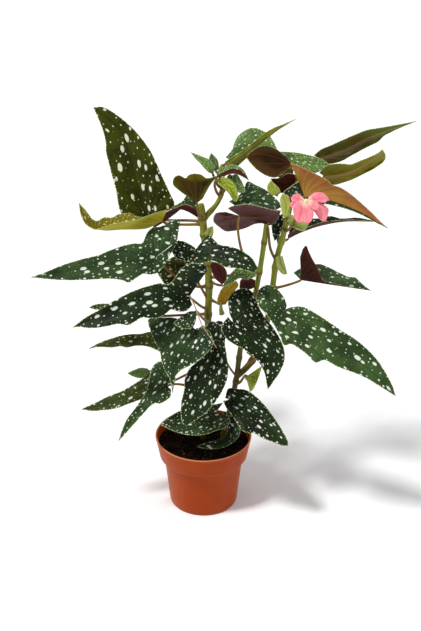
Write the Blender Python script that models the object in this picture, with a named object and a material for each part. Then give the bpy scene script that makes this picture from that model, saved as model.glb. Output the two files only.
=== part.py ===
"""A potted spotted begonia: a plastic nursery pot, its soil, three canes, leaves and a flower.

Metres, +Z up. The origin is the centre of the pot's underside, and the front is -Y.
Places on the plant are read in the photograph: pixels across and down, and how many
millimetres the spot lies behind the pot's axis. spot() turns them into metres.
"""

from math import cos, pi, radians, sin

import bmesh
import bpy
from mathutils import Matrix, Vector

MM = 0.001
GAP = 0.35 * MM
SEAT = 0.7 * MM

# The pot, a round one that measures 120 mm across its rim
POT_HEIGHT = 96 * MM
RIM_RADIUS = 60 * MM
COLLAR_DEPTH = 27 * MM
COLLAR_FOOT_RADIUS = 55 * MM
SHOULDER_RADIUS = 51 * MM
BASE_RADIUS = 42.5 * MM
WALL = 1.4 * MM
FLOOR = 2.0 * MM
HOLE_RADIUS = 4 * MM
HOLE_RING = 27 * MM
HOLE_COUNT = 6
POT_SIDES = 40

# The soil and the sockets that the canes stand in
SOIL_TOP = 84 * MM
SOIL_SIDES = 32
SOCKET_DEPTH = 12 * MM

# The camera's place, which turns a pixel into a spot on the plant
PIXEL = 1.25 * MM
AXIS_PIXEL = 203.5
RIM_PIXEL = 434
VIEW_TILT = radians(33.5)
VIEW_DISTANCE = 1.8
CAMERA = Vector((0, -VIEW_DISTANCE * cos(VIEW_TILT), POT_HEIGHT + VIEW_DISTANCE * sin(VIEW_TILT)))

# Blades and stalks
BLADE = 0.8 * MM
STALK_THICK = 1.8
STALK_THIN = 1.4
STALK_STEPS = 5
STALK_SIDES = 5
STALK_LAP = 1.5 * MM
CANE_SIDES = 8

# A blade's rows round the lobe and along the body of each half, and its columns from midrib to margin
LOBE_ROWS = 4
BODY_ROWS = 7
COLUMNS = (0.5, 1.0)
PATH_STEPS = 8

# A margin point meets the midrib nearer to the stalk, as the side veins lean to the tip
VEIN_LAG = 1.25

# The lobe ends where the margin passes this share of the chord. One that takes less than this share
# of the margin is none, and the half's rows all start on the midrib
LOBE_END = 0.06
LEAST_LOBE = 0.1

# Blades seen more edge-on than this are treated as no flatter
FLATTEST = 0.35

# A sheath's rings, each a share of its length and of its size
SHEATH_RINGS = ((0, 0.6), (0.3, 1.0), (0.65, 0.7))
SHEATH_SIDES = 6

# The flower
FLOWER_HEIGHT = 372
PETAL_SEAT = 2.1 * MM


def clear():
    for old in list(bpy.data.objects):
        bpy.data.objects.remove(old, do_unlink=True)


def material(name, colour, roughness):
    made = bpy.data.materials.new(name)
    made.use_nodes = True
    shader = made.node_tree.nodes["Principled BSDF"]
    shader.inputs["Base Color"].default_value = (*colour, 1)
    shader.inputs["Roughness"].default_value = roughness
    shader.inputs["Metallic"].default_value = 0.0
    return made


def spot(across, down, back):
    """The place that shows at this pixel and lies this many millimetres behind the pot's axis."""
    side = (across - AXIS_PIXEL) * PIXEL
    rise = (RIM_PIXEL - down) * PIXEL
    near = (rise * sin(VIEW_TILT) - back * MM) / (cos(VIEW_TILT) + rise * sin(VIEW_TILT) / VIEW_DISTANCE)
    shrink = 1 - near / VIEW_DISTANCE
    up = rise * shrink
    return Vector((
        side * shrink,
        up * sin(VIEW_TILT) - near * cos(VIEW_TILT),
        POT_HEIGHT + up * cos(VIEW_TILT) + near * sin(VIEW_TILT),
    ))


def smooth_path(points, share):
    """The point at this share of a Catmull-Rom curve through the points."""
    spans = len(points) - 1
    place = min(max(share, 0), 1) * spans
    first = min(int(place), spans - 1)
    t = place - first
    b = points[first]
    c = points[first + 1]
    a = points[first - 1] if first else b * 2 - c
    d = points[first + 2] if first + 2 <= spans else c * 2 - b
    return (b * 2 + (c - a) * t + (a * 2 - b * 5 + c * 4 - d) * t**2 + (b * 3 - a - c * 3 + d) * t**3) / 2


def arc_path(start, leave, arrive, end, share):
    """The point at this share of a cubic curve that leaves and arrives along two handles."""
    rest = 1 - share
    return (
        start * rest**3 + leave * (3 * rest**2 * share) + arrive * (3 * rest * share**2) + end * share**3
    )


def tube(points, radii, sides):
    """A closed bmesh tube along the points, with flat caps."""
    mesh = bmesh.new()
    turned = (points[1] - points[0]).orthogonal().normalized()
    rings = []
    for index, point in enumerate(points):
        ahead = points[min(index + 1, len(points) - 1)]
        behind = points[max(index - 1, 0)]
        along = (ahead - behind).normalized()
        turned = (turned - along * turned.dot(along)).normalized()
        other = along.cross(turned)
        ring = []
        for side in range(sides):
            angle = 2 * pi * side / sides
            ring.append(mesh.verts.new(point + (turned * cos(angle) + other * sin(angle)) * radii[index]))
        rings.append(ring)
    for lower, upper in zip(rings, rings[1:]):
        for side in range(sides):
            after = (side + 1) % sides
            mesh.faces.new((lower[side], lower[after], upper[after], upper[side]))
    mesh.faces.new(rings[0][::-1])
    mesh.faces.new(rings[-1])
    return mesh


def add(name, mesh, look, guide=False):
    """The object that holds this bmesh. A guide only shapes another object."""
    bmesh.ops.recalc_face_normals(mesh, faces=mesh.faces[:])
    data = bpy.data.meshes.new(name)
    mesh.to_mesh(data)
    mesh.free()
    data.materials.append(look)
    made = bpy.data.objects.new(name, data)
    bpy.context.scene.collection.objects.link(made)
    made.data.shade_smooth()
    if guide:
        made.hide_render = True
        made.display_type = "WIRE"
    return made


def combine(made, other, operation):
    step = made.modifiers.new(operation.title(), "BOOLEAN")
    step.operation = operation
    step.solver = "EXACT"
    step.object = other


def turned(name, profile, sides, look, guide=False):
    """A solid of revolution about Z from a profile of (radius, height) that starts and ends on the axis."""
    mesh = bmesh.new()
    rings = []
    for radius, height in profile:
        if radius == 0:
            rings.append([mesh.verts.new((0, 0, height))])
            continue
        ring = []
        for side in range(sides):
            angle = 2 * pi * side / sides
            ring.append(mesh.verts.new((radius * cos(angle), radius * sin(angle), height)))
        rings.append(ring)
    for lower, upper in zip(rings, rings[1:]):
        for side in range(sides):
            after = (side + 1) % sides
            corners = [lower[side % len(lower)], lower[after % len(lower)]]
            corners += [upper[after % len(upper)], upper[side % len(upper)]]
            mesh.faces.new(list(dict.fromkeys(corners)))
    return add(name, mesh, look, guide)


def upright(name, place, radius, low, high, look):
    """A vertical cylinder that cuts a hole."""
    mesh = bmesh.new()
    height = high - low
    middle = Matrix.Translation((place.x, place.y, low + height / 2))
    bmesh.ops.create_cone(
        mesh, cap_ends=True, segments=12, radius1=radius, radius2=radius, depth=height, matrix=middle
    )
    return add(name, mesh, look, guide=True)


def pot(look):
    shoulder = POT_HEIGHT - COLLAR_DEPTH
    inner_rim = RIM_RADIUS - WALL
    profile = [
        (0, 0),
        (BASE_RADIUS - 2 * MM, 0),
        (BASE_RADIUS, 2 * MM),
        (SHOULDER_RADIUS - 1 * MM, shoulder - 4 * MM),
        (COLLAR_FOOT_RADIUS, shoulder),
        (RIM_RADIUS - 1 * MM, POT_HEIGHT - 3 * MM),
        (RIM_RADIUS, POT_HEIGHT - 2.5 * MM),
        (RIM_RADIUS, POT_HEIGHT),
        (inner_rim - 0.5 * MM, POT_HEIGHT),
        (COLLAR_FOOT_RADIUS - WALL, shoulder + 2 * MM),
        (SHOULDER_RADIUS - 1 * MM - WALL, shoulder - 2.5 * MM),
        (BASE_RADIUS - WALL, FLOOR + 1 * MM),
        (BASE_RADIUS - 2.5 * MM, FLOOR),
        (0, FLOOR),
    ]
    made = turned("pot", profile, POT_SIDES, look)
    for index in range(HOLE_COUNT):
        angle = 2 * pi * (index + 0.3) / HOLE_COUNT
        place = Vector((HOLE_RING * cos(angle), HOLE_RING * sin(angle), 0))
        drain = upright(f"drain_{index + 1}", place, HOLE_RADIUS, -1 * MM, FLOOR + 1 * MM, look)
        combine(made, drain, "DIFFERENCE")
    made.data.set_sharp_from_angle(angle=radians(35))
    return made


def soil(look, canes):
    shoulder = POT_HEIGHT - COLLAR_DEPTH
    reach = WALL + 2 * GAP
    collar_slope = (RIM_RADIUS - COLLAR_FOOT_RADIUS) / COLLAR_DEPTH
    top_radius = COLLAR_FOOT_RADIUS + collar_slope * (SOIL_TOP - shoulder) - reach - 1 * MM
    profile = [
        (0, FLOOR + GAP),
        (BASE_RADIUS - 3.5 * MM, FLOOR + GAP),
        (BASE_RADIUS - 1 * MM - reach, FLOOR + 3 * MM),
        (SHOULDER_RADIUS - 1 * MM - reach - 0.3 * MM, shoulder - 2.5 * MM),
        (COLLAR_FOOT_RADIUS - reach - 1 * MM, shoulder + 3 * MM),
        (top_radius, SOIL_TOP),
        (0, SOIL_TOP),
    ]
    made = turned("soil", profile, SOIL_SIDES, look)
    for index, (axis, radii) in enumerate(canes):
        low = SOIL_TOP - SOCKET_DEPTH - GAP
        cutter = upright(f"socket_{index + 1}", axis[0], radii[0] + 2 * GAP, low, SOIL_TOP + 2 * MM, look)
        combine(made, cutter, "DIFFERENCE")
    made.data.set_sharp_from_angle(angle=radians(35))
    return made


def cane_axis(foot, places):
    """The axis of a cane: straight down its socket, then smoothly through the places."""
    ground = Vector((foot[0] * MM, foot[1] * MM, SOIL_TOP))
    through = [ground + Vector((0, 0, 6 * MM))] + [spot(*place) for place in places]
    count = 2 * (len(through) - 1)
    points = [ground - Vector((0, 0, SOCKET_DEPTH)), ground + Vector((0, 0, 2 * MM))]
    return points + [smooth_path(through, index / count) for index in range(count + 1)]


def taper(points, thick, thin):
    count = len(points) - 1
    return [(thick + (thin - thick) * index / count) * MM for index in range(count + 1)]


def at_height(cane, height):
    """The cane's axis point, direction and radius at this height in millimetres."""
    axis, radii = cane
    for index, (lower, upper) in enumerate(zip(axis, axis[1:])):
        if lower.z <= height * MM <= upper.z:
            share = (height * MM - lower.z) / (upper.z - lower.z)
            return lower.lerp(upper, share), (upper - lower).normalized(), radii[index]
    return axis[-1], (axis[-1] - axis[-2]).normalized(), radii[-1]


def on_sight_line(across, down, anchor, up):
    """The place that shows at this pixel and lies in the plane through the anchor that faces up."""
    ray = spot(across, down, 0) - CAMERA
    return CAMERA + ray * ((anchor - CAMERA).dot(up) / ray.dot(up))


def slide(place, up, rise):
    """The place risen this far over its blade, moved along its sight line so that it shows as before."""
    toward = (CAMERA - place).normalized()
    facing = toward.dot(up)
    if abs(facing) < FLATTEST:
        facing = FLATTEST if facing > 0 else -FLATTEST
    return place + toward * (rise / facing)


def measured(points):
    """A smooth path through the points as many short steps, and the share of its length at each."""
    count = (len(points) - 1) * PATH_STEPS
    fine = [smooth_path(points, step / count) for step in range(count + 1)]
    lengths = [0]
    for before, after in zip(fine, fine[1:]):
        lengths.append(lengths[-1] + (after - before).length)
    return fine, [length / lengths[-1] for length in lengths]


def at_share(path, share):
    """The point at this share of a measured path's length."""
    fine, shares = path
    for index in range(1, len(shares)):
        if shares[index] >= share:
            step = (share - shares[index - 1]) / max(shares[index] - shares[index - 1], 1e-9)
            return fine[index - 1].lerp(fine[index], step)
    return fine[-1]


def margin(rib, up, outline, fold):
    """One margin of a blade: its measured path, the share that its lobe takes, its hand and its normals."""
    foot = rib[0]
    chord = rib[-1] - foot
    side = up.cross(chord.normalized())
    flat = [spot(*place) if len(place) == 3 else on_sight_line(*place, foot, up) for place in outline]
    hand = 1 if sum((place - foot).dot(side) for place in flat) > 0 else -1

    def normal(share):
        angle = radians(fold[0] + (fold[1] - fold[0]) * share)
        return up * cos(angle) - side * (hand * sin(angle))

    places = []
    for place, guess in zip(outline, flat):
        share = min(max((guess - foot).dot(chord) / chord.length_squared, 0), 1)
        if len(place) == 3:
            places.append(guess)
        else:
            places.append(on_sight_line(*place, smooth_path(rib, share), normal(share)))
    path = measured(places + [rib[-1]])
    least = LOBE_END * chord.length_squared
    behind = [share for point, share in zip(*path) if (point - foot).dot(chord) < least]
    lobe = max([0] + behind)
    return path, lobe if lobe > LEAST_LOBE else 0, hand, normal


def strip(mesh, before, line):
    """The faces between two rows of vertices, where a vertex may be shared."""
    for inner in range(len(line) - 1):
        outer = inner + 1
        corners = list(dict.fromkeys((before[inner], line[inner], line[outer], before[outer])))
        if len(corners) > 2:
            mesh.faces.new(corners)


def blade(name, look, rib, up, left, right, fold, bulge):
    """A blade as a thin closed skin around one layer of faces, which meet along the midrib."""
    mesh = bmesh.new()
    rows = LOBE_ROWS + BODY_ROWS
    body = [max(0, (row - LOBE_ROWS) / BODY_ROWS) for row in range(rows + 1)]
    midrib = measured(rib)
    places = [at_share(midrib, share**VEIN_LAG) for share in body]
    centre = mesh.verts.new(places[0])
    ribs = [centre if share == 0 else mesh.verts.new(place) for share, place in zip(body, places)]
    for outline in (left, right):
        path, lobe, hand, normal = margin(rib, up, outline, fold)
        before = None
        for row in range(0 if lobe else LOBE_ROWS, rows + 1):
            share = lobe * min(row / LOBE_ROWS, 1) + (1 - lobe) * body[row]
            edge = at_share(path, share)
            line = [ribs[row]]
            for column in COLUMNS if row < rows else ():
                flat = places[row].lerp(edge, column)
                rise = bulge * (edge - places[row]).length * 4 * column * (1 - column)
                line.append(mesh.verts.new(slide(flat, normal(body[row]), rise)))
            line += [ribs[row]] * (len(COLUMNS) + 1 - len(line))
            if before:
                strip(mesh, before, line)
            before = line
    made = add(name, mesh, look)
    skin = made.modifiers.new("Thickness", "SOLIDIFY")
    skin.thickness = BLADE
    skin.offset = 0
    return made


def facing_up(rib, face):
    """The direction that the blade's upper side looks, square to its chord."""
    chord = (rib[-1] - rib[0]).normalized()
    up = Vector(face)
    return (up - chord * up.dot(chord)).normalized()


def leaf(name, look, joint, face, rib, left, right, fold=(0, 0), bulge=0.08, slack=0.35):
    """One leaf, a blade with its stalk.

    joint is (cane, height in millimetres) and face is where the upper side looks. rib holds spots
    from the stalk to the tip. left and right are the margins as they show in the photograph, from
    the notch round the lobe to the tip: pixels, or spots where the half leaves its plane. fold
    raises both halves, in degrees at the foot and at the tip. bulge lifts the middle of a half, as
    a share of its width. slack is how far the stalk swings, as a share of its length.
    """
    rib = [spot(*place) for place in rib]
    up = facing_up(rib, face)
    made = blade(name, look, rib, up, left, right, fold, bulge)
    foot = rib[0]
    chord = (rib[-1] - foot).normalized()
    root, along, radius = at_height(*joint)
    away = foot - root
    away = (away - along * away.dot(along)).normalized()
    start = root + away * (radius + SEAT)
    swing = (foot - start).length * slack
    leave = start + away * swing
    arrive = foot - (up + chord * 0.6) * swing
    end = foot + (rib[1] - foot).normalized() * STALK_LAP
    points = [arc_path(start, leave, arrive, end, step / STALK_STEPS) for step in range(STALK_STEPS + 1)]
    stalk = tube(points, taper(points, STALK_THICK, STALK_THIN), STALK_SIDES)
    combine(made, add(f"{name}_stalk", stalk, look, guide=True), "UNION")
    return made


def sheath(name, look, joint, tip, wide, depth):
    """A pointed sheath that stands off a cane: a flat cone with one side pressed in."""
    root, along, radius = at_height(*joint)
    tip_place = spot(*tip)
    out = tip_place - root
    out = (out - along * out.dot(along)).normalized()
    across = along.cross(out).normalized()
    foot = root + out * (radius + GAP + SHEATH_RINGS[0][1] * depth * MM)
    middle = (foot + tip_place) / 2 + out * (depth * MM)
    mesh = bmesh.new()
    rings = []
    for share, size in SHEATH_RINGS:
        rest = 1 - share
        centre = foot * rest**2 + middle * (2 * rest * share) + tip_place * share**2
        ring = []
        for side in range(SHEATH_SIDES):
            angle = 2 * pi * side / SHEATH_SIDES
            offset = across * (cos(angle) * wide) + out * (sin(angle) * depth)
            ring.append(mesh.verts.new(centre + offset * (size * MM)))
        rings.append(ring)
    point = mesh.verts.new(tip_place)
    for lower, upper in zip(rings, rings[1:]):
        for side in range(SHEATH_SIDES):
            after = (side + 1) % SHEATH_SIDES
            mesh.faces.new((lower[side], lower[after], upper[after], upper[side]))
    for side in range(SHEATH_SIDES):
        mesh.faces.new((rings[-1][side], rings[-1][(side + 1) % SHEATH_SIDES], point))
    mesh.faces.new(rings[0][::-1])
    return add(name, mesh, look)


def left_leaves(canes, looks):
    leaf(
        "leaf_tall", looks["olive"], (canes["left"], 382), face=(-0.2, -0.8, 0.5),
        rib=[(146, 217, 52), (139, 190, 64), (131, 160, 77), (120, 130, 89), (93.5, 107.6, 96)],
        left=[
            (137, 220), (127, 217), (121, 213), (118, 203), (116, 190), (112, 176), (109, 164), (106, 152),
            (105.5, 141), (102, 128), (97.5, 117),
        ],
        right=[
            (156, 215), (167, 211), (174.5, 204.5), (169, 191), (162, 176), (156, 162), (150, 150),
            (142.5, 139.5), (134, 129.5), (124, 120.5), (112, 111.5), (102, 106.8),
        ],
        fold=(10, 10), slack=0.2,
    )
    leaf(
        "leaf_yellow_curled", looks["yellow"], (canes["left"], 380), face=(0.1, -0.35, 0.93),
        rib=[
            (162, 221, 4), (146, 228.5, 0), (122, 229.5, -6), (101, 230, -10), (87, 221, -12),
            (79, 203, -14),
        ],
        left=[
            (166, 210, 0), (158, 212, -6), (148, 215.5, -10), (137, 219.5, -13), (124, 222, -15),
            (112, 224, -16), (103, 227, -16), (95, 229.5, -15), (86, 224.5, -15), (82.5, 219, -15),
            (79.8, 211, -15),
        ],
        right=[
            (153, 219, 7), (145, 217.5, 10), (136, 216, 12), (130, 213, 13), (119, 214, 11),
            (112, 217.5, 8), (104, 217.5, 4), (97, 221, -5), (91.5, 218, -9), (86, 210.5, -13),
        ],
        bulge=0.03, slack=0.15,
    )
    leaf(
        "leaf_strip", looks["maroon"], (canes["left"], 388), face=(0, -0.3, 0.95),
        rib=[
            (199.5, 219, 16), (191, 213, 18), (184, 207.8, 20), (174, 214.5, 24), (164, 222, 28),
            (152.5, 228.5, 30),
        ],
        left=[
            (199.5, 212, 10), (192, 206.5, 10), (184, 204.5, 12), (174, 208.5, 16), (164, 213.5, 20),
            (156, 220.5, 25),
        ],
        right=[
            (199, 205, 23), (193, 198, 26), (187, 195.5, 28), (182, 201.5, 29), (175, 205.5, 30),
            (168, 211, 31), (158, 220.5, 31),
        ],
        bulge=0.03, slack=0.2,
    )
    leaf(
        "leaf_long_upper", looks["green"], (canes["left"], 300), face=(-0.1, -0.72, 0.65),
        rib=[(154, 259, -14), (125, 262, -21), (90, 267.5, -32), (60, 272.5, -41), (31, 277.3, -48)],
        left=[
            (178.5, 241, -8), (171, 253, -14), (166, 263, -20), (158, 272.5, -24), (150, 274.5, -26),
            (143, 273.8), (136, 278), (129, 282.5), (121, 280), (108, 278.7), (90, 279.7), (65, 280.2),
            (47, 279),
        ],
        right=[
            (177.5, 238.6, -7.5), (178.5, 231, -3), (180, 220.5, 3), (176, 219.3, 3), (169, 221.8, 2),
            (162, 226.2, 1), (152, 228, -1), (146.5, 234, -4), (142, 243, -9), (134, 243.4), (122, 246),
            (110, 250.3), (97, 255.5), (80, 259.7), (62, 265.3), (45, 272.3),
        ],
        fold=(8, 8),
    )
    leaf(
        "leaf_behind_saddle", looks["olive"], (canes["left"], 318), face=(-0.1, -0.5, 0.85),
        rib=[(192, 264, 20), (176, 268, 21), (157, 272, 22)],
        left=[(190, 274), (180, 276), (174, 281), (166, 284.5), (161, 279)],
        right=[(188, 258), (176, 256), (165, 262)],
    )
    leaf(
        "leaf_beside_saddle", looks["green"], (canes["left"], 336), face=(-0.1, -0.8, 0.6),
        rib=[(194, 256, -2), (183, 252, -4), (170.5, 249.5, -6)],
        left=[(191, 262), (183, 260.5), (176, 258)],
        right=[(195, 247.5), (188, 243.3), (181, 240.8), (173.5, 242.5)],
    )
    leaf(
        "leaf_long_second", looks["green"], (canes["left"], 272), face=(-0.05, -0.7, 0.7),
        rib=[
            (189, 297, -25), (171, 296, -36), (150, 298.5, -45), (128, 304, -52), (100, 316, -60),
            (72.5, 327.5, -66),
        ],
        left=[
            (191.5, 306), (186, 311), (178, 311.5), (171, 309.5), (166, 313.5), (158, 318), (150, 318.3),
            (142, 317.6), (135, 321.5), (128, 325.2), (118, 324), (105, 326.7), (90, 328.3), (80, 326.8),
        ],
        right=[
            (207, 268.5, -23), (205, 264.8, -25), (198, 263.5, -28), (188, 264, -30), (180, 270, -30),
            (174, 279, -31), (168, 284.5, -31), (160, 283.3, -35), (150, 285.5, -39), (140, 288.5, -42),
            (130, 292.5, -46), (120, 297.5, -50), (110, 303, -53), (98, 310.5, -57), (87, 316.5, -61),
            (80, 321.7, -64),
        ],
        fold=(4, 4), slack=0.15,
    )
    leaf(
        "leaf_small_behind", looks["green"], (canes["left"], 262), face=(0, -0.4, 0.9),
        rib=[(124, 312, 4), (106, 307, 2), (89, 307.5, 0)],
        left=[(122, 318), (112, 314.5), (100, 310), (94, 309.5)],
        right=[(121, 306), (110, 303.8), (100, 303.8), (94, 305)],
        slack=0.15,
    )
    leaf(
        "leaf_pale_edge", looks["green"], (canes["left"], 256), face=(0, -0.75, 0.65),
        rib=[(196, 311, -34), (186, 319, -42), (173, 323.5, -50)],
        left=[(196, 320), (192.5, 327.5), (185, 329), (177.5, 326.5)],
        right=[(189, 311.5), (181, 316.5), (175.5, 321)],
        slack=0.15,
    )
    leaf(
        "leaf_narrow_olive", looks["olive"], (canes["left"], 228), face=(0, -0.4, 0.9),
        rib=[(161, 343, 4), (140, 340.3, 0), (115, 342.5, -3), (88.5, 348.6, -6)],
        left=[
            (159, 351.5), (152, 348), (143, 345.8), (134, 346), (127, 347.6), (120, 346.2), (112, 347.5),
            (100, 347),
        ],
        right=[(160, 334), (151, 331.8), (141, 333.8), (130, 334.3), (120, 336), (110, 339), (100, 342.5)],
        slack=0.15,
    )
    leaf(
        "leaf_low_upper", looks["green"], (canes["left"], 186), face=(-0.1, -0.6, 0.8),
        rib=[(161, 383, -4), (140, 390, -12), (112, 402, -22), (81.5, 409.3, -30)],
        left=[(158, 391), (147, 397), (138, 400.5), (127, 404.5), (115, 408.7), (102, 410.3), (92, 411)],
        right=[
            (160, 374), (151, 371), (143, 378), (132, 385.3), (121, 391.5), (109, 396), (97, 402),
            (88, 406),
        ],
    )
    leaf(
        "leaf_low_down", looks["green"], (canes["left"], 164), face=(-0.25, -0.75, 0.6),
        rib=[(167, 386, -26), (153, 395, -34), (138, 411, -44), (118.5, 441, -54)],
        left=[
            (171, 391), (170.5, 396.5), (166, 400.5), (160, 403.7), (155, 403.3), (148, 408.5),
            (140, 417.5), (131, 427.5), (124, 435.5),
        ],
        right=[
            (170, 378), (166, 369.5), (162, 361.8), (156, 363), (151, 370), (149, 380), (146, 391),
            (141, 400), (134, 410), (127, 419), (122, 430),
        ],
        fold=(12, 6),
    )
    leaf(
        "leaf_pale_small", looks["yellow"], (canes["left"], 196), face=(0, -0.4, 0.9),
        rib=[(150, 371, 16), (140, 372.8, 14), (127.5, 373.3, 12)],
        left=[(148, 376.5), (143, 378), (138, 378), (132, 376)],
        right=[(147, 368.5), (141, 367.8), (134, 370)],
    )
    leaf(
        "leaf_cupped", looks["underside"], (canes["left"], 391), face=(0.1, 0.92, 0.3),
        rib=[(197, 203, -8), (195.5, 189, -9), (194, 173.6, -9)],
        left=[
            (203, 198, -7), (209, 187, -8), (216, 176.5, -10), (211, 177.8, -11), (206, 178, -12),
            (201, 174.6, -9),
        ],
        right=[
            (188, 197, -9), (177, 188.7, -12), (173, 184, -14), (174, 178, -15), (179, 175.3, -14),
            (185, 178.3, -11), (189, 175, -8),
        ],
        slack=0.2,
    )
    leaf(
        "leaf_shoot_left", looks["young"], (canes["fork"], 434), face=(-0.2, -0.6, 0.75),
        rib=[(213, 174, -2), (203, 161.5, -4), (190.5, 152.3, -6)],
        left=[(208, 172), (201, 164.5), (194.5, 157.5)],
        right=[(215, 167), (210, 160), (203, 156.8), (196, 154)],
    )
    leaf(
        "leaf_shoot_top", looks["young"], (canes["fork"], 440), face=(0.2, -0.7, 0.7),
        rib=[(216, 171, 15), (214, 162, 16), (211, 152.8, 17)],
        left=[(212.5, 170), (210.3, 165), (209, 158)],
        right=[(219, 168.5), (218, 161), (215, 156.5)],
    )
    leaf(
        "leaf_shoot_right", looks["green"], (canes["fork"], 426), face=(0, -0.5, 0.85),
        rib=[(217, 177, -3), (225, 171.5, -5), (234, 169, -8), (242, 172, -10), (249, 180.5, -12)],
        left=[(217, 171), (224, 167), (231, 164.5), (239, 166.5), (245, 172)],
        right=[(222, 177.5), (229, 174.5), (236, 174), (242, 176.5)],
    )
    leaf(
        "leaf_shoot_bright", looks["bright"], (canes["fork"], 416), face=(0.2, -0.6, 0.75),
        rib=[(218, 180, -13), (227, 186, -16), (233, 193, -20), (237.5, 200.5, -24)],
        left=[(223, 176.5), (231, 180.5), (236, 188), (238.5, 196)],
        right=[(218, 183.5), (223.5, 188), (229, 194), (234, 201)],
        fold=(25, 25),
    )
    leaf(
        "leaf_shoot_mottled", looks["young"], (canes["fork"], 421), face=(0.1, -0.8, 0.6),
        rib=[(231, 176, -6), (236, 183, -9), (241, 193, -13)],
        left=[(237, 173.5), (241, 180), (244.5, 187.5), (245, 191.5)],
        right=[(228.5, 179), (231, 186), (235, 191.5)],
        fold=(20, 20),
    )
    leaf(
        "leaf_spotted_left", looks["green"], (canes["fork"], 449), face=(-0.1, -0.75, 0.65),
        rib=[(230, 160, 35), (243, 153, 38), (260, 149, 40), (277, 148.5, 42)],
        left=[
            (226, 156.5), (232, 150), (234.5, 142.5), (238, 136), (245, 130.3), (253, 127.8), (261, 130),
            (268, 134), (273, 140.5),
        ],
        right=[(231, 164.5), (240, 161), (252, 156.5), (263, 153), (271, 151)],
    )
    leaf(
        "leaf_long_folded", looks["olive"], (canes["fork"], 438), face=(-0.1, 0.9, 0.4),
        rib=[(227, 165, 9), (245, 151.5, 14), (268, 134.5, 18), (296, 118.8, 22)],
        left=[(232, 170), (239, 165), (248, 156.5), (258, 146), (268, 137.8), (280, 128.8), (289, 123.3)],
        right=[(226, 161), (231, 158), (240, 152.5), (252, 143.5), (262, 135.3), (273, 128.3), (284, 124)],
        fold=(25, 10), bulge=0.1,
    )


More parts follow.
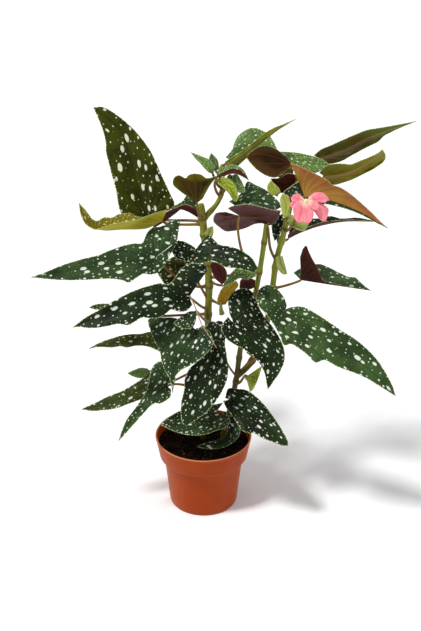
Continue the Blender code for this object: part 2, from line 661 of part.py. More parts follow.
def centre_leaves(canes, looks):
    leaf(
        "leaf_saddle", looks["green"], (canes["left"], 328), face=(0.05, -0.6, 0.8),
        rib=[(194, 256, -30), (212, 254, -36), (236, 258, -46), (258, 268, -56)],
        left=[
            (195, 250), (200, 244), (205, 237.8), (209, 234.8), (214, 239.5), (220, 244.8), (229, 246.3),
            (238, 249), (246, 253.3), (253, 259.5),
        ],
        right=[
            (188, 261.5), (197, 263.8), (206, 262.3), (213, 260.8), (220, 263.7), (226, 267.3),
            (236, 268.3), (246, 270.5), (254, 272.5),
        ],
        fold=(10, -12),
    )
    leaf(
        "leaf_centre_left", looks["green"], (canes["left"], 240), face=(-0.15, -0.7, 0.7),
        rib=[(196, 330, -38), (185, 349, -49), (174, 371, -60), (172.5, 393, -68)],
        left=[
            (204, 326), (211, 334), (213, 345), (207, 353), (199, 360), (190, 365.7), (182, 369.7),
            (176.5, 375), (174.5, 384),
        ],
        right=[
            (187, 322), (175, 318), (163, 317.5), (152, 318), (147.8, 321), (151, 332), (155, 342),
            (159.5, 350), (161.5, 361), (165, 371), (170, 379.5),
        ],
        fold=(6, 6), slack=0.15,
    )
    leaf(
        "leaf_hanging", looks["green"], (canes["left"], 222), face=(-0.05, -0.88, 0.45),
        rib=[(214, 348, -32), (208, 372, -48), (199, 398, -62), (187, 425.5, -76)],
        left=[
            (215, 322.5), (219.5, 320.5), (224, 324), (226.5, 331), (225, 342), (226.5, 354), (228.3, 367),
            (227, 379.5), (222, 391.5), (215, 402.5), (206, 412.5), (196, 420),
        ],
        right=[
            (213, 321.5), (209, 322), (205.5, 328), (204.5, 340), (206, 352.5), (198, 361.5), (190, 368),
            (185, 378), (184, 390), (181.3, 402), (180.8, 414), (182.3, 423),
        ],
        fold=(6, 6),
    )
    leaf(
        "leaf_centre_right", looks["green"], (canes["middle"], 240), face=(0.1, -0.75, 0.62),
        rib=[(234, 324, -30), (249, 337, -37), (264, 357, -48), (268, 389.5, -62)],
        left=[
            (229.5, 312), (228.5, 299), (236, 290.5), (246, 288.3), (254, 294), (258, 305), (264, 316),
            (272, 326), (279, 337), (284, 349), (284.3, 361), (279, 373.5), (272.5, 383),
        ],
        right=[
            (227, 318), (221, 327), (225, 337), (233, 343.7), (243, 348.7), (252, 356), (260, 364),
            (265, 374.5), (266.5, 383),
        ],
        fold=(8, 8),
    )
    leaf(
        "leaf_low_green", looks["young"], (canes["middle"], 172), face=(0.3, -0.8, 0.5),
        rib=[(247, 376, -14), (252, 381, -18), (249.8, 391.8, -24)],
        left=[(262, 366), (259.5, 375), (256, 384), (252.7, 390)],
        right=[(243, 377.5), (246.5, 380.5), (248.2, 386)],
    )
    leaf(
        "leaf_over_rim", looks["green"], (canes["middle"], 138), face=(0.2, -0.65, 0.72),
        rib=[(230, 400, -26), (248, 411, -38), (268, 427, -55), (287.5, 446, -73)],
        left=[
            (225.5, 396.5), (228.5, 388.5), (237, 389), (246, 390), (254, 395), (262, 402.3), (270, 412),
            (278, 423.5), (284, 433.5), (288, 441.5),
        ],
        right=[
            (223.5, 402), (227, 409), (233, 416.5), (238, 425), (243, 431), (248, 433), (255, 433.7),
            (263, 438.5), (272, 441.7), (281, 445.3),
        ],
        fold=(8, 8),
    )
    leaf(
        "leaf_over_soil", looks["green"], (canes["left"], 118), face=(0, -0.5, 0.87),
        rib=[(214, 415, -22), (196, 421, -28), (178, 424, -33), (160.5, 424.7, -38)],
        left=[
            (226, 412), (230, 420), (226, 427.5), (216, 430.7), (207, 434), (198, 435.3), (188, 435),
            (178, 432.6), (170, 429.6), (164.5, 426.8),
        ],
        right=[(222, 403), (212, 405), (200, 408), (188, 409), (178, 411.7), (170, 416.5), (164, 421)],
        fold=(4, 4),
    )
    leaf(
        "leaf_on_soil", looks["green"], (canes["middle"], 104), face=(0, -0.6, 0.75),
        rib=[(232, 415, -10), (233.5, 428, -15), (228.5, 440, -21), (214, 445.3, -24), (196.5, 446.5, -26)],
        left=[(238, 420), (240.5, 430), (237.5, 438.5), (231, 444), (222, 448), (210, 449.3), (202, 448.3)],
        right=[(227, 421), (227.5, 431), (222.5, 438), (213, 441.3), (204, 443.3)],
    )
    leaf(
        "leaf_folded_purple", looks["maroon"], (canes["middle"], 318), face=(0, 0.85, 0.45),
        rib=[(240, 216, -18), (256, 217.5, -18), (270, 216, -16), (281, 210.5, -14)],
        left=[
            (224, 212, -12), (215.5, 213.5, -10), (213.3, 221), (219, 227), (226, 231.3), (236, 230.5),
            (246, 228), (254, 224.3), (262, 223.3), (270, 225.3), (277, 220.5),
        ],
        right=[
            (228, 208, -20), (233, 205.8), (238, 205), (247, 204), (257, 205.5), (266, 208), (274, 209.7),
        ],
        fold=(10, 20), slack=0.2,
    )
    leaf(
        "leaf_behind_folded", looks["green"], (canes["middle"], 390), face=(0, -0.9, 0.4),
        rib=[(235, 205.5, -6), (256, 201, -6), (281, 207.5, -8)],
        left=[
            (229.5, 201), (239, 195.5), (244.5, 187), (248, 181.3), (256, 185), (266, 190), (274, 196.7),
            (279.5, 202.5),
        ],
        right=[(238, 209), (250, 209), (262, 210), (272, 211)],
        slack=0.15,
    )
    leaf(
        "leaf_small_maroon", looks["maroon"], (canes["left"], 306), face=(0.4, 0.8, 0.35),
        rib=[(222, 284.5, -8), (219, 273, -9), (212, 261.5, -10)],
        left=[(226.5, 280.5), (227, 273), (224, 267), (218, 263)],
        right=[(215, 278.5), (212, 272.5), (210, 266)],
        slack=0.15,
    )
    leaf(
        "leaf_small_wine", looks["maroon"], (canes["middle"], 270), face=(-0.2, 0.85, 0.4),
        rib=[(255, 287, 0), (247, 283, -1), (239.5, 286.5, -2)],
        left=[(255, 280), (249, 277.8), (241, 279.5)],
        right=[(251, 289), (245, 289.3), (240, 288.5)],
    )
    leaf(
        "leaf_speckled_small", looks["young"], (canes["left"], 312), face=(0.1, -0.6, 0.75),
        rib=[(256, 270, -20), (243, 273, -20), (232, 279, -20), (221.5, 287.5, -18)],
        left=[(255, 277), (247, 279.5), (239, 278.5), (231, 283.5)],
        right=[(249, 266.5), (240, 266.5), (233.5, 270.5), (227, 279)],
        slack=0.15,
    )
    leaf(
        "bract_dry", looks["yellow"], (canes["left"], 282), face=(-0.2, -0.7, 0.6),
        rib=[(221, 305, -2), (226, 294, -4), (236.5, 281, -8)],
        left=[(217, 302), (218.5, 295), (222.5, 288), (230, 283)],
        right=[(226, 304), (229, 299), (234, 292), (238.5, 285.5)],
        fold=(12, 5), slack=0.25,
    )


def right_leaves(canes, looks):
    leaf(
        "leaf_big_right", looks["green"], (canes["right"], 284), face=(0.1, -0.65, 0.75),
        rib=[(282, 315, -52), (312, 331, -63), (345, 352, -77), (372, 372, -89), (395.5, 396, -98)],
        left=[
            (285, 310), (291, 307.3), (303, 307), (315, 313), (329, 322), (342, 331), (355, 339),
            (367, 349), (378, 361), (387, 375), (393, 387),
        ],
        right=[
            (283, 311, -50), (286.5, 307, -46), (285, 300, -42), (279, 291, -37), (270, 285, -35),
            (262, 287, -37), (256.7, 294, -42), (257.5, 304, -48), (265, 313, -52), (272, 322, -56),
            (279, 334, -61), (284, 345, -65), (291, 344), (299, 348.5), (308, 355.5), (315.5, 362.6),
            (325, 360.3), (338, 367), (352, 372), (366, 378), (380, 386.5),
        ],
        fold=(6, 6),
    )
    leaf(
        "leaf_small_folded", looks["maroon"], (canes["right"], 296), face=(0.05, -0.2, 1),
        rib=[(301, 280, 2), (318, 282.7, 1), (342, 286.3, -2), (371, 290.6, -6)],
        left=[
            (294.5, 272, 12), (303, 267, 17), (312, 264.7, 19), (321, 264.3, 20), (330, 268, 18),
            (341, 273.5, 14), (349, 277, 11), (355, 277.3, 9), (363, 284.5, 2),
        ],
        right=[
            (300.5, 256, -7), (303, 248.7, -8), (306.5, 245.8, -8), (309, 252, -7), (313, 260, -5),
            (318, 269, -3), (321, 277, -2), (326, 281.8, -1), (340, 284.8, -4), (355, 288.3, -6),
        ],
        bulge=0.04, slack=0.1,
    )
    leaf(
        "leaf_dark_brown", looks["brown"], (canes["middle"], 424), face=(0.2, 0.9, 0.1),
        rib=[(291, 163, 1), (275, 157, -3), (260, 154, -6), (246, 156.8, -9)],
        left=[(284, 155), (277, 149.5), (268, 145.8), (259, 146.5), (251, 151.5)],
        right=[
            (290, 168, -3), (283, 174, -7), (275, 177.5, -11), (266, 175.5, -13), (257, 169.7, -13),
            (250, 162.5, -11),
        ],
        fold=(10, 25), slack=0.16,
    )
    leaf(
        "leaf_inner_brown", looks["green"], (canes["right"], 424), face=(0.1, -0.9, 0.3),
        rib=[(290, 170, 3), (285, 171, 5), (277, 175, 7)],
        left=[(292, 176), (286, 177.5), (280, 178)],
        right=[(291, 166), (286, 166.3), (280.5, 170)],
        slack=0.45,
    )
    leaf(
        "leaf_red_brown", looks["maroon"], (canes["right"], 404), face=(0.2, 0.9, 0.1),
        rib=[(296, 182, -3), (286, 183, -5), (270.5, 178.5, -8)],
        left=[(294, 174), (287, 173.5), (279, 178), (274, 178.5)],
        right=[(288, 191), (281, 193), (275, 187)],
    )
    leaf(
        "leaf_spotted_top", looks["green"], (canes["right"], 436), face=(0, -0.6, 0.8),
        rib=[(286, 156.5, 24), (300, 160.5, 23), (315, 164, 21), (329.5, 164.3, 20)],
        left=[(281, 151.7), (290, 152), (300, 153.2), (310, 155.5), (318, 157.6), (325, 161)],
        right=[(287, 161.5), (297, 166), (306, 170), (315, 173), (322, 170), (327, 166.5)],
    )
    leaf(
        "leaf_pointing_up", looks["underside"], (canes["right"], 438), face=(-0.2, 0.85, 0.45),
        rib=[(319, 158, 36), (345, 149, 34), (374, 135, 31), (417, 121, 28)],
        left=[
            (322, 162.5), (330, 163.7), (341, 161.3), (353, 154.7), (366, 147.7), (378, 141.7), (384, 136),
            (394, 130.7), (407, 125),
        ],
        right=[
            (315, 154.5), (321, 149.5), (331, 145.3), (343, 139.8), (355, 134.6), (367, 130), (380, 127.8),
            (397, 124.8),
        ],
        fold=(14, 14), bulge=0.1, slack=0.12,
    )
    leaf(
        "leaf_olive_below", looks["underside"], (canes["right"], 424), face=(-0.1, 0.85, 0.5),
        rib=[(324, 176, 12), (345, 173, 10), (366, 163.5, 7), (382.5, 149.3, 4)],
        left=[
            (325.5, 181.5), (333.5, 184.8), (342, 183), (353, 179.2), (364, 173.8), (375, 168), (384, 161),
            (385.5, 155),
        ],
        right=[
            (320, 172), (327, 165.5), (336, 163.8), (344, 163.8), (351, 164.3), (360, 160.8), (370, 156.8),
            (378, 153),
        ],
        fold=(12, 18),
    )
    leaf(
        "leaf_orange_brown", looks["orange"], (canes["right"], 412), face=(0.1, 0.92, 0.35),
        rib=[(305, 197, -14), (328, 200, -18), (358, 211, -24), (388.5, 228.7, -30)],
        left=[
            (297, 182, -12), (290, 187, -12), (283.5, 192.7, -12), (291, 198, -13), (301, 203),
            (313, 205.3), (326, 204.3), (340, 207.2), (353, 211.3), (365, 216.5), (377, 223),
        ],
        right=[
            (292, 163.5), (299, 166), (308, 170), (318, 175), (327, 180), (333, 185), (340, 187.3),
            (350, 193.5), (360, 202), (370, 211), (380, 221),
        ],
        fold=(14, 6),
    )
    leaf(
        "leaf_between_canes", looks["green"], (canes["right"], 352), face=(0.1, -0.8, 0.6),
        rib=[(282, 216, 20), (278, 227, 18), (274.5, 241, 16)],
        left=[(285, 221), (282, 229), (278.5, 237)],
        right=[(277, 213.5), (272.5, 219), (271.5, 226), (272.5, 234)],
    )
    leaf(
        "bract_upper", looks["bright"], (canes["middle"], 423), face=(-0.1, -0.8, 0.6),
        rib=[(277, 195.5, -14), (274, 189, -16), (270.5, 180.5, -17)],
        left=[(272, 195), (267.5, 190), (267.5, 185)],
        right=[(280.5, 193), (279.5, 189), (275, 184)],
    )
    leaf(
        "bract_lower", looks["bright"], (canes["right"], 388), face=(-0.1, -0.8, 0.6),
        rib=[(285, 219, -14), (286.5, 206, -16), (282.5, 193.5, -18)],
        left=[(282, 214), (281, 206), (280, 199)],
        right=[(289, 213), (290.5, 205), (288.5, 197.5)],
    )
    leaf(
        "leaf_behind_cane", looks["maroon"], (canes["right"], 356), face=(0, -0.3, 0.95),
        rib=[(288, 239, 20), (300, 233, 21), (320, 226, 24), (345, 221.6, 28), (377, 221.7, 32)],
        left=[
            (291, 228, 32), (304, 219, 38), (318, 218.5, 38), (330, 216.2, 38), (342, 218.6, 37),
            (356, 217.7, 36), (367, 219.3, 34),
        ],
        right=[
            (289, 234, 14), (295, 230, 13), (306, 227.5, 14), (320, 222.8, 17), (335, 220.4, 20),
            (352, 219.9, 25), (365, 220.6, 29),
        ],
        bulge=0.03, slack=0.2,
    )


def petal(name, look, centre, tip, face, left, right):
    """One petal, an oval blade that narrows to its foot beside the end of the flower's stalk."""
    tip_place = spot(*tip)
    foot = centre + (tip_place - centre).normalized() * PETAL_SEAT
    rib = [foot, foot.lerp(tip_place, 0.5), tip_place]
    return blade(name, look, rib, facing_up(rib, face), left, right, (10, 10), 0.1)


def flower(canes, look, green):
    """The flower's stalk leaves the right cane, and the petals sit around its end."""
    root, along, radius = at_height(canes["right"], FLOWER_HEIGHT)
    centre = spot(306, 201, -42)
    away = centre - root
    away = (away - along * away.dot(along)).normalized()
    start = root + away * (radius + SEAT)
    leave = start + away * 14 * MM
    arrive = centre + Vector((0, 14 * MM, -6 * MM))
    points = [arc_path(start, leave, arrive, centre, step / STALK_STEPS) for step in range(STALK_STEPS + 1)]
    add("flower_stalk", tube(points, taper(points, 1.5, 1.3), STALK_SIDES), look)
    petal(
        "petal_lower_left", look, centre, (302, 223, -50), (-0.1, -0.8, 0.5),
        left=[(298, 202.5), (293, 203), (292.5, 209), (295, 216.5), (299, 222)],
        right=[(307, 204.5), (311, 208), (313, 213), (310, 220.5), (306, 223.5)],
    )
    petal(
        "petal_lower_right", look, centre, (323, 221.5, -46), (0.2, -0.8, 0.5),
        left=[(313, 203), (320, 203), (328, 208), (328, 214), (326, 220)],
        right=[(311, 207), (314, 211), (317, 215.5), (320, 219.5)],
    )
    petal(
        "petal_upper_right", look, centre, (329, 199, -40), (0.1, -0.7, 0.6),
        left=[(309, 197), (313, 193.5), (318, 192), (324, 193.5)],
        right=[(312, 200.5), (318, 202), (325, 202.3)],
    )
    petal(
        "petal_left", look, centre, (291, 198, -40), (-0.1, -0.8, 0.5),
        left=[(302, 196.5), (298, 193.5), (293, 195)],
        right=[(301, 200), (296, 201.5), (292, 201)],
    )
    sheath("bract_flower", green, (canes["right"], FLOWER_HEIGHT - 12), (304, 232, -16), 6, 2)


def branch(places, thick, thin):
    """A smooth limb through spots, as its axis and radii."""
    through = [spot(*place) for place in places]
    count = 2 * (len(through) - 1)
    axis = [smooth_path(through, index / count) for index in range(count + 1)]
    return axis, taper(axis, thick, thin)


def stems(look):
    left = cane_axis(
        (-1, 8), [(204, 405, 8), (208, 355, 8), (208, 315, 8), (209, 288, 8), (207, 258, 8), (204, 232, 8),
        (202, 214, 6), (200.3, 205, 5)],
    )
    middle = cane_axis(
        (24, 2), [(232, 400, 2), (237, 374, 2), (241, 345, 4), (248, 318, 6), (256, 290, 8), (262, 257, 8),
        (266, 228, 9), (269, 206, 9), (272, 186, 9)],
    )
    right = [
        (237, 376, 2), (247, 367, 3), (257, 352, 6), (266, 325, 10), (271, 300, 12), (276, 262, 12),
        (282, 240, 10), (288, 215, 8), (294, 190, 6), (299, 172, 6),
    ]
    fork = [
        (203, 222, 7), (209, 213, 8), (216, 205, 9), (221, 195, 9), (222, 184, 9), (220, 173, 9),
        (222, 166, 10),
    ]
    canes = {
        "left": (left, taper(left, 4.0, 4.4)),
        "fork": branch(fork, 2.8, 2.2),
        "middle": (middle, taper(middle, 3.4, 2.8)),
        "right": branch(right, 3.9, 3.0),
    }
    for trunk, limb, name in (("left", "fork", "cane_left"), ("middle", "right", "cane_right")):
        made = add(name, tube(*canes[trunk], CANE_SIDES), look)
        combine(made, add(f"{name}_fork", tube(*canes[limb], CANE_SIDES), look, guide=True), "UNION")
    return canes


def build():
    clear()
    looks = {
        "green": material("spotted_leaf", (0.025, 0.055, 0.030), 0.35),
        "olive": material("backlit_leaf", (0.06, 0.09, 0.008), 0.40),
        "yellow": material("yellow_leaf", (0.30, 0.32, 0.02), 0.45),
        "bright": material("bright_leaf", (0.35, 0.45, 0.03), 0.45),
        "young": material("young_leaf", (0.12, 0.20, 0.06), 0.45),
        "maroon": material("maroon_underside", (0.10, 0.015, 0.018), 0.45),
        "brown": material("brown_underside", (0.09, 0.04, 0.02), 0.45),
        "underside": material("olive_underside", (0.16, 0.10, 0.03), 0.45),
        "orange": material("orange_underside", (0.30, 0.11, 0.04), 0.45),
        "stem": material("stem", (0.22, 0.24, 0.04), 0.45),
        "pink": material("petal", (0.80, 0.20, 0.22), 0.5),
    }
    plastic = material("pot_plastic", (0.36, 0.07, 0.02), 0.45)
    mix = material("potting_mix", (0.012, 0.007, 0.005), 0.95)
    canes = stems(looks["stem"])
    pot(plastic)
    soil(mix, [canes["left"], canes["middle"]])
    left_leaves(canes, looks)
    centre_leaves(canes, looks)
    right_leaves(canes, looks)
    flower(canes, looks["pink"], looks["young"])
    sheath("sheath_hanging", looks["young"], (canes["right"], 345), (287.5, 273, 4), 5, 2)
    sheath("sheath_left", looks["young"], (canes["left"], 378), (213, 226, 2), 5, 2)


build()
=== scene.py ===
from math import atan2, cos, exp, hypot, pi, radians, sin
from random import Random

import bmesh
import bpy
from mathutils import Matrix, Vector, noise


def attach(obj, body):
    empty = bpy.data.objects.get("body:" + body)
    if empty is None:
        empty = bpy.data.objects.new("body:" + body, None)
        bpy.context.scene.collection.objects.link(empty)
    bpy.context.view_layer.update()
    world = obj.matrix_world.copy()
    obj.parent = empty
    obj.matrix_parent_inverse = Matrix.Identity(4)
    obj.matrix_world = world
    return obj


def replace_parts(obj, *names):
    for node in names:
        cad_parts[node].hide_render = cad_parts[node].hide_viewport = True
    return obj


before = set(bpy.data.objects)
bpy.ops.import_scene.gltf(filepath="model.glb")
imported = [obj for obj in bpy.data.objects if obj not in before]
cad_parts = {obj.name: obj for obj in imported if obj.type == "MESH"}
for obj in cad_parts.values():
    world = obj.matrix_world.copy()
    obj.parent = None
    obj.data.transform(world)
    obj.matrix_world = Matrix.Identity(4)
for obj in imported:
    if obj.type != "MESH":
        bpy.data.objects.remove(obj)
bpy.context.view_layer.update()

# The pot is a moulded polypropylene nursery pot, 120 mm across its rim, with a collar that steps
# in to a tapered wall and a floor with six drainage holes. It is one thin shell. Satin moulded
# plastic shows a faint grain; its sharp edges and its lip are painted paler, as highlights.
MM = 0.001
POT_HEIGHT = 96 * MM
POT_STEPS = 128
DRAIN_RADIUS = 4 * MM
DRAIN_RING = 27 * MM
DRAIN_COUNT = 6
DRAIN_SIDES = 24


def linear(hex_colour):
    """The linear RGBA of an sRGB hex colour."""
    parts = [int(hex_colour[index : index + 2], 16) / 255 for index in (1, 3, 5)]
    return (*[part / 12.92 if part <= 0.04045 else ((part + 0.055) / 1.055) ** 2.4 for part in parts], 1)


def set_inputs(tree, node, inputs):
    """Gives each socket its value, hex colour or link. A node here stands for its first live output."""
    for key, value in inputs.items():
        if isinstance(value, bpy.types.Node):
            value = next(socket for socket in value.outputs if socket.enabled)
        if isinstance(value, bpy.types.NodeSocket):
            tree.links.new(value, node.inputs[key])
        else:
            node.inputs[key].default_value = linear(value) if isinstance(value, str) else value


def add_node(tree, kind, inputs=None, **settings):
    """A node with its settings and its inputs."""
    made = tree.nodes.new(f"ShaderNode{kind}")
    for name, value in settings.items():
        setattr(made, name, value)
    set_inputs(tree, made, inputs or {})
    return made


def new_material(name):
    made = bpy.data.materials.new(name)
    made.use_nodes = True
    return made, made.node_tree, made.node_tree.nodes["Principled BSDF"]


def select_only(*pieces):
    bpy.ops.object.select_all(action="DESELECT")
    for piece in pieces:
        piece.select_set(True)
    bpy.context.view_layer.objects.active = pieces[0]


def add_piece(name, points, faces, looks):
    """The object that has this mesh, smooth, with these materials."""
    data = bpy.data.meshes.new(name)
    data.from_pydata(points, [], faces)
    data.validate()
    for look in looks:
        data.materials.append(look)
    made = bpy.data.objects.new(name, data)
    bpy.context.scene.collection.objects.link(made)
    data.shade_smooth()
    return made


def revolve(profile, steps):
    """Points and faces of a solid of revolution about Z. The profile starts and ends on the axis."""
    points, faces, rings = [], [], []
    for radius, height in profile:
        count = 1 if radius == 0 else steps
        first = len(points)
        for step in range(count):
            angle = 2 * pi * step / steps
            points.append((radius * cos(angle), radius * sin(angle), height))
        rings.append([first + step % count for step in range(steps)])
    for lower, upper in zip(rings, rings[1:]):
        for step in range(steps):
            after = (step + 1) % steps
            corners = dict.fromkeys((lower[step], lower[after], upper[after], upper[step]))
            if len(corners) > 2:
                faces.append(tuple(corners))
    return points, faces


def apply_boolean(piece, other, operation):
    step = piece.modifiers.new(operation.title(), "BOOLEAN")
    step.operation = operation
    step.solver = "EXACT"
    step.object = other
    select_only(piece)
    bpy.ops.object.modifier_apply(modifier=step.name)
    bpy.data.objects.remove(other, do_unlink=True)


def pot_plastic():
    made, tree, shader = new_material("moulded_polypropylene")
    place = add_node(tree, "TexCoord").outputs["Object"]
    # Flow marks some 20 mm across, and a moulded grain drawn at 0.8 mm so that it shows
    flow = add_node(tree, "TexNoise", {"Vector": place, "Scale": 50, "Detail": 3})
    grain = add_node(tree, "TexNoise", {"Vector": place, "Scale": 1200, "Detail": 2})
    body = add_node(tree, "Mix", {0: flow, 6: "#8c3000", 7: "#9c3b00"}, data_type="RGBA")
    # Painted highlight: the sharp edges of the plastic turn paler
    edge_sharpness = add_node(tree, "NewGeometry").outputs["Pointiness"]
    edge = add_node(tree, "MapRange", {"Value": edge_sharpness, "From Min": 0.55, "From Max": 0.65})
    edge_highlighted = add_node(tree, "Mix", {0: edge, 6: body, 7: "#b85a28"}, data_type="RGBA")
    # The lip carries a painted highlight, a pale line along its top
    level = add_node(tree, "SeparateXYZ", {"Vector": place})
    lip_highlight = add_node(tree, "MapRange", {
        "Value": level.outputs["Z"], "From Min": 0.0945, "From Max": 0.0955, "To Max": 0.7,
    })
    lip_highlighted = add_node(tree, "Mix", {0: lip_highlight, 6: edge_highlighted, 7: "#d88a5c"}, data_type="RGBA")
    gloss = add_node(tree, "MapRange", {"Value": grain, "To Min": 0.34, "To Max": 0.46})
    bump = add_node(tree, "Bump", {"Height": grain, "Strength": 0.25, "Distance": 0.0002})
    set_inputs(tree, shader, {
        "Base Color": lip_highlighted, "Roughness": gloss, "Normal": bump, "Specular IOR Level": 0.12,
    })
    # A satin bloom brightens the plastic where it turns away
    set_inputs(tree, shader, {"Sheen Weight": 0.3, "Sheen Roughness": 0.4, "Sheen Tint": "#e88c4e"})
    return made


pot_profile = [(radius * MM, height * MM) for radius, height in (
    (0, 0.8), (20, 0.8), (22, 0), (40.2, 0), (41.6, 0.4), (42.3, 1.4), (42.8, 3), (44.5, 20), (46.3, 38),
    (48.2, 54), (49.6, 64.5), (50.2, 66.2), (51.2, 67.6), (53.2, 68.2), (54.6, 68.6), (55.2, 69.4),
    (55.4, 70.6), (56.4, 76), (57.7, 83), (58.9, 90), (59.2, 92.4), (59.9, 93.2), (60.1, 94.2),
    (60.0, 95.2), (59.5, 95.9), (58.8, 96), (58.2, 95.6), (57.9, 94.8), (57.5, 91), (56.4, 83), (54.2, 72),
    (53.6, 70.6), (52.4, 69.8), (50.2, 69.2), (48.8, 67.4), (48.2, 65), (44.9, 38), (41.4, 5), (40.4, 3),
    (39, 2.1), (0, 2.1),
)]
pot = add_piece("pot_shell", *revolve(pot_profile, POT_STEPS), [pot_plastic()])
for index in range(DRAIN_COUNT):
    turn = 2 * pi * (index + 0.3) / DRAIN_COUNT
    place = (DRAIN_RING * cos(turn), DRAIN_RING * sin(turn), 1 * MM)
    bpy.ops.mesh.primitive_cylinder_add(
        vertices=DRAIN_SIDES, radius=DRAIN_RADIUS, depth=8 * MM, location=place,
    )
    apply_boolean(pot, bpy.context.object, "DIFFERENCE")
select_only(pot)
bpy.ops.object.shade_smooth_by_angle(angle=radians(40))
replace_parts(pot, "pot")
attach(pot, "root")

# The soil is moist peat and bark potting mix, one plug that fills the pot to 12 mm below its
# rim. Its top is crumbly: small lumps, bark chips and fibres lie loose on it, and the canes
# stand in it. Wet peat is almost black, and the dry tips of its crumbs are brown.
SOIL_TOP = 84 * MM
SOIL_RADIUS = 56.3 * MM
SOIL_STEPS = 150
TOP_RINGS = 46
CRUMB_COUNT = 900
soil_random = Random(11)


def potting_mix():
    made, tree, shader = new_material("moist_potting_mix")
    place = add_node(tree, "TexCoord").outputs["Object"]
    # Crumbs some 4 mm across, and flecks of pale bark some 2 mm across
    lumps = add_node(tree, "TexNoise", {"Vector": place, "Scale": 260, "Detail": 6, "Roughness": 0.65})
    flecks = add_node(tree, "TexVoronoi", {"Vector": place, "Scale": 420})
    chance = add_node(tree, "SeparateColor", {"Color": flecks.outputs["Color"]})
    dry = add_node(tree, "MapRange", {"Value": lumps, "From Min": 0.48, "From Max": 0.68})
    earth = add_node(tree, "Mix", {0: dry, 6: "#0c0602", 7: "#2e190a"}, data_type="RGBA")
    pale = add_node(tree, "MapRange", {"Value": chance.outputs["Red"], "From Min": 0.93, "From Max": 0.97})
    mixed = add_node(tree, "Mix", {0: pale, 6: earth, 7: "#4a2e16"}, data_type="RGBA")
    bump = add_node(tree, "Bump", {"Height": lumps, "Strength": 0.8, "Distance": 0.0012})
    set_inputs(tree, shader, {
        "Base Color": mixed, "Roughness": 0.92, "Normal": bump, "Specular IOR Level": 0.1,
    })
    return made


top_rings = [(SOIL_RADIUS * (1 - step / TOP_RINGS), SOIL_TOP) for step in range(TOP_RINGS)]
soil_profile = [(radius * MM, height * MM) for radius, height in (
    (0, 2.4), (39, 2.4), (41, 6), (47.6, 65), (53, 72),
)]
soil_points, soil_faces = revolve(soil_profile + top_rings + [(0, SOIL_TOP)], SOIL_STEPS)
soil_points = [Vector(point) for point in soil_points]
for point in soil_points:
    if point.z > SOIL_TOP - 1 * MM:
        lump = noise.fractal(point * 120, 0.8, 2.1, 5)
        fine = noise.noise(point * 520)
        point.z += (1.5 * lump + 0.9 * fine - 0.8) * MM
for index in range(CRUMB_COUNT):
    away = SOIL_RADIUS * 0.97 * soil_random.random() ** 0.5
    turn = soil_random.uniform(0, 2 * pi)
    # One crumb in 23 is a bark chip, and one in three is a splinter
    size = soil_random.uniform(0.6, 1.5) * MM * (2.2 if index % 23 == 0 else 1)
    long = soil_random.uniform(1, 2.6) if index % 3 == 0 else 1.2
    spin = Matrix.Rotation(soil_random.uniform(0, 6.28), 3, "Z")
    spin = spin @ Matrix.Rotation(soil_random.uniform(-0.6, 0.6), 3, "Y")
    centre = Vector((away * cos(turn), away * sin(turn), SOIL_TOP + size * 0.3))
    crumb = bmesh.new()
    bmesh.ops.create_icosphere(crumb, subdivisions=1, radius=size)
    first = len(soil_points)
    for vert in crumb.verts:
        knob = 1 + 0.35 * noise.noise(vert.co * 1500 + centre * 900)
        soil_points.append(centre + spin @ Vector((vert.co.x * long, vert.co.y, vert.co.z * 0.8)) * knob)
    soil_faces += [tuple(first + vert.index for vert in face.verts) for face in crumb.faces]
    crumb.free()
soil = add_piece("potting_mix", soil_points, soil_faces, [potting_mix()])
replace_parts(soil, "soil")
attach(soil, "root")

# The canes are fleshy stems, 5 to 9 mm thick and jointed like bamboo: at each joint a leaf stalk
# grows, and a thin brown scar rings the cane. Two stand in the soil and each forks once. Their
# skin is satin, streaked along its length and fresh green above; low down it is painted darker
# and browner, as shade under the leaves.
# Places on the plant are read in the photograph, which looks down at this tilt from this distance.
# A pixel at the pot's axis is 1.25 mm, and the axis and the rim's centre are at these pixels.
PIXEL = 1.25 * MM
AXIS_PIXEL = 203.5
RIM_PIXEL = 434
VIEW_TILT = radians(33.5)
VIEW_DISTANCE = 1.8
AXIS_STEPS = 2
CANE_STEP = 2.2 * MM
CANE_SIDES = 20
# A joint swells by these shares of the radius, over these reaches in millimetres
JOINT_SWELL = 0.26
JOINT_REACH = 3.2
WIDE_SWELL = 0.04
WIDE_REACH = 12
SCAR_REACH = 1.6


def spot(across, down, back):
    """The place that shows at this pixel and lies this many millimetres behind the pot's axis."""
    side = (across - AXIS_PIXEL) * PIXEL
    rise = (RIM_PIXEL - down) * PIXEL
    near = (rise * sin(VIEW_TILT) - back * MM) / (cos(VIEW_TILT) + rise * sin(VIEW_TILT) / VIEW_DISTANCE)
    shrink = 1 - near / VIEW_DISTANCE
    up = rise * shrink
    return Vector((
        side * shrink,
        up * sin(VIEW_TILT) - near * cos(VIEW_TILT),
        POT_HEIGHT + up * cos(VIEW_TILT) + near * sin(VIEW_TILT),
    ))


def smooth_path(points, share):
    """The point at this share of a Catmull-Rom curve through the points."""
    spans = len(points) - 1
    place = min(max(share, 0), 1) * spans
    first = min(int(place), spans - 1)
    t = place - first
    b = points[first]
    c = points[first + 1]
    a = points[first - 1] if first else b * 2 - c
    d = points[first + 2] if first + 2 <= spans else c * 2 - b
    return (b * 2 + (c - a) * t + (a * 2 - b * 5 + c * 4 - d) * t**2 + (b * 3 - a - c * 3 + d) * t**3) / 2


def smoothed(points, steps):
    """The smooth path through the points, in this many steps."""
    return [smooth_path(points, step / steps) for step in range(steps + 1)]


def square_to(direction, along):
    """The part of a direction that is square to another one, at length one."""
    return (direction - along * direction.dot(along)).normalized()


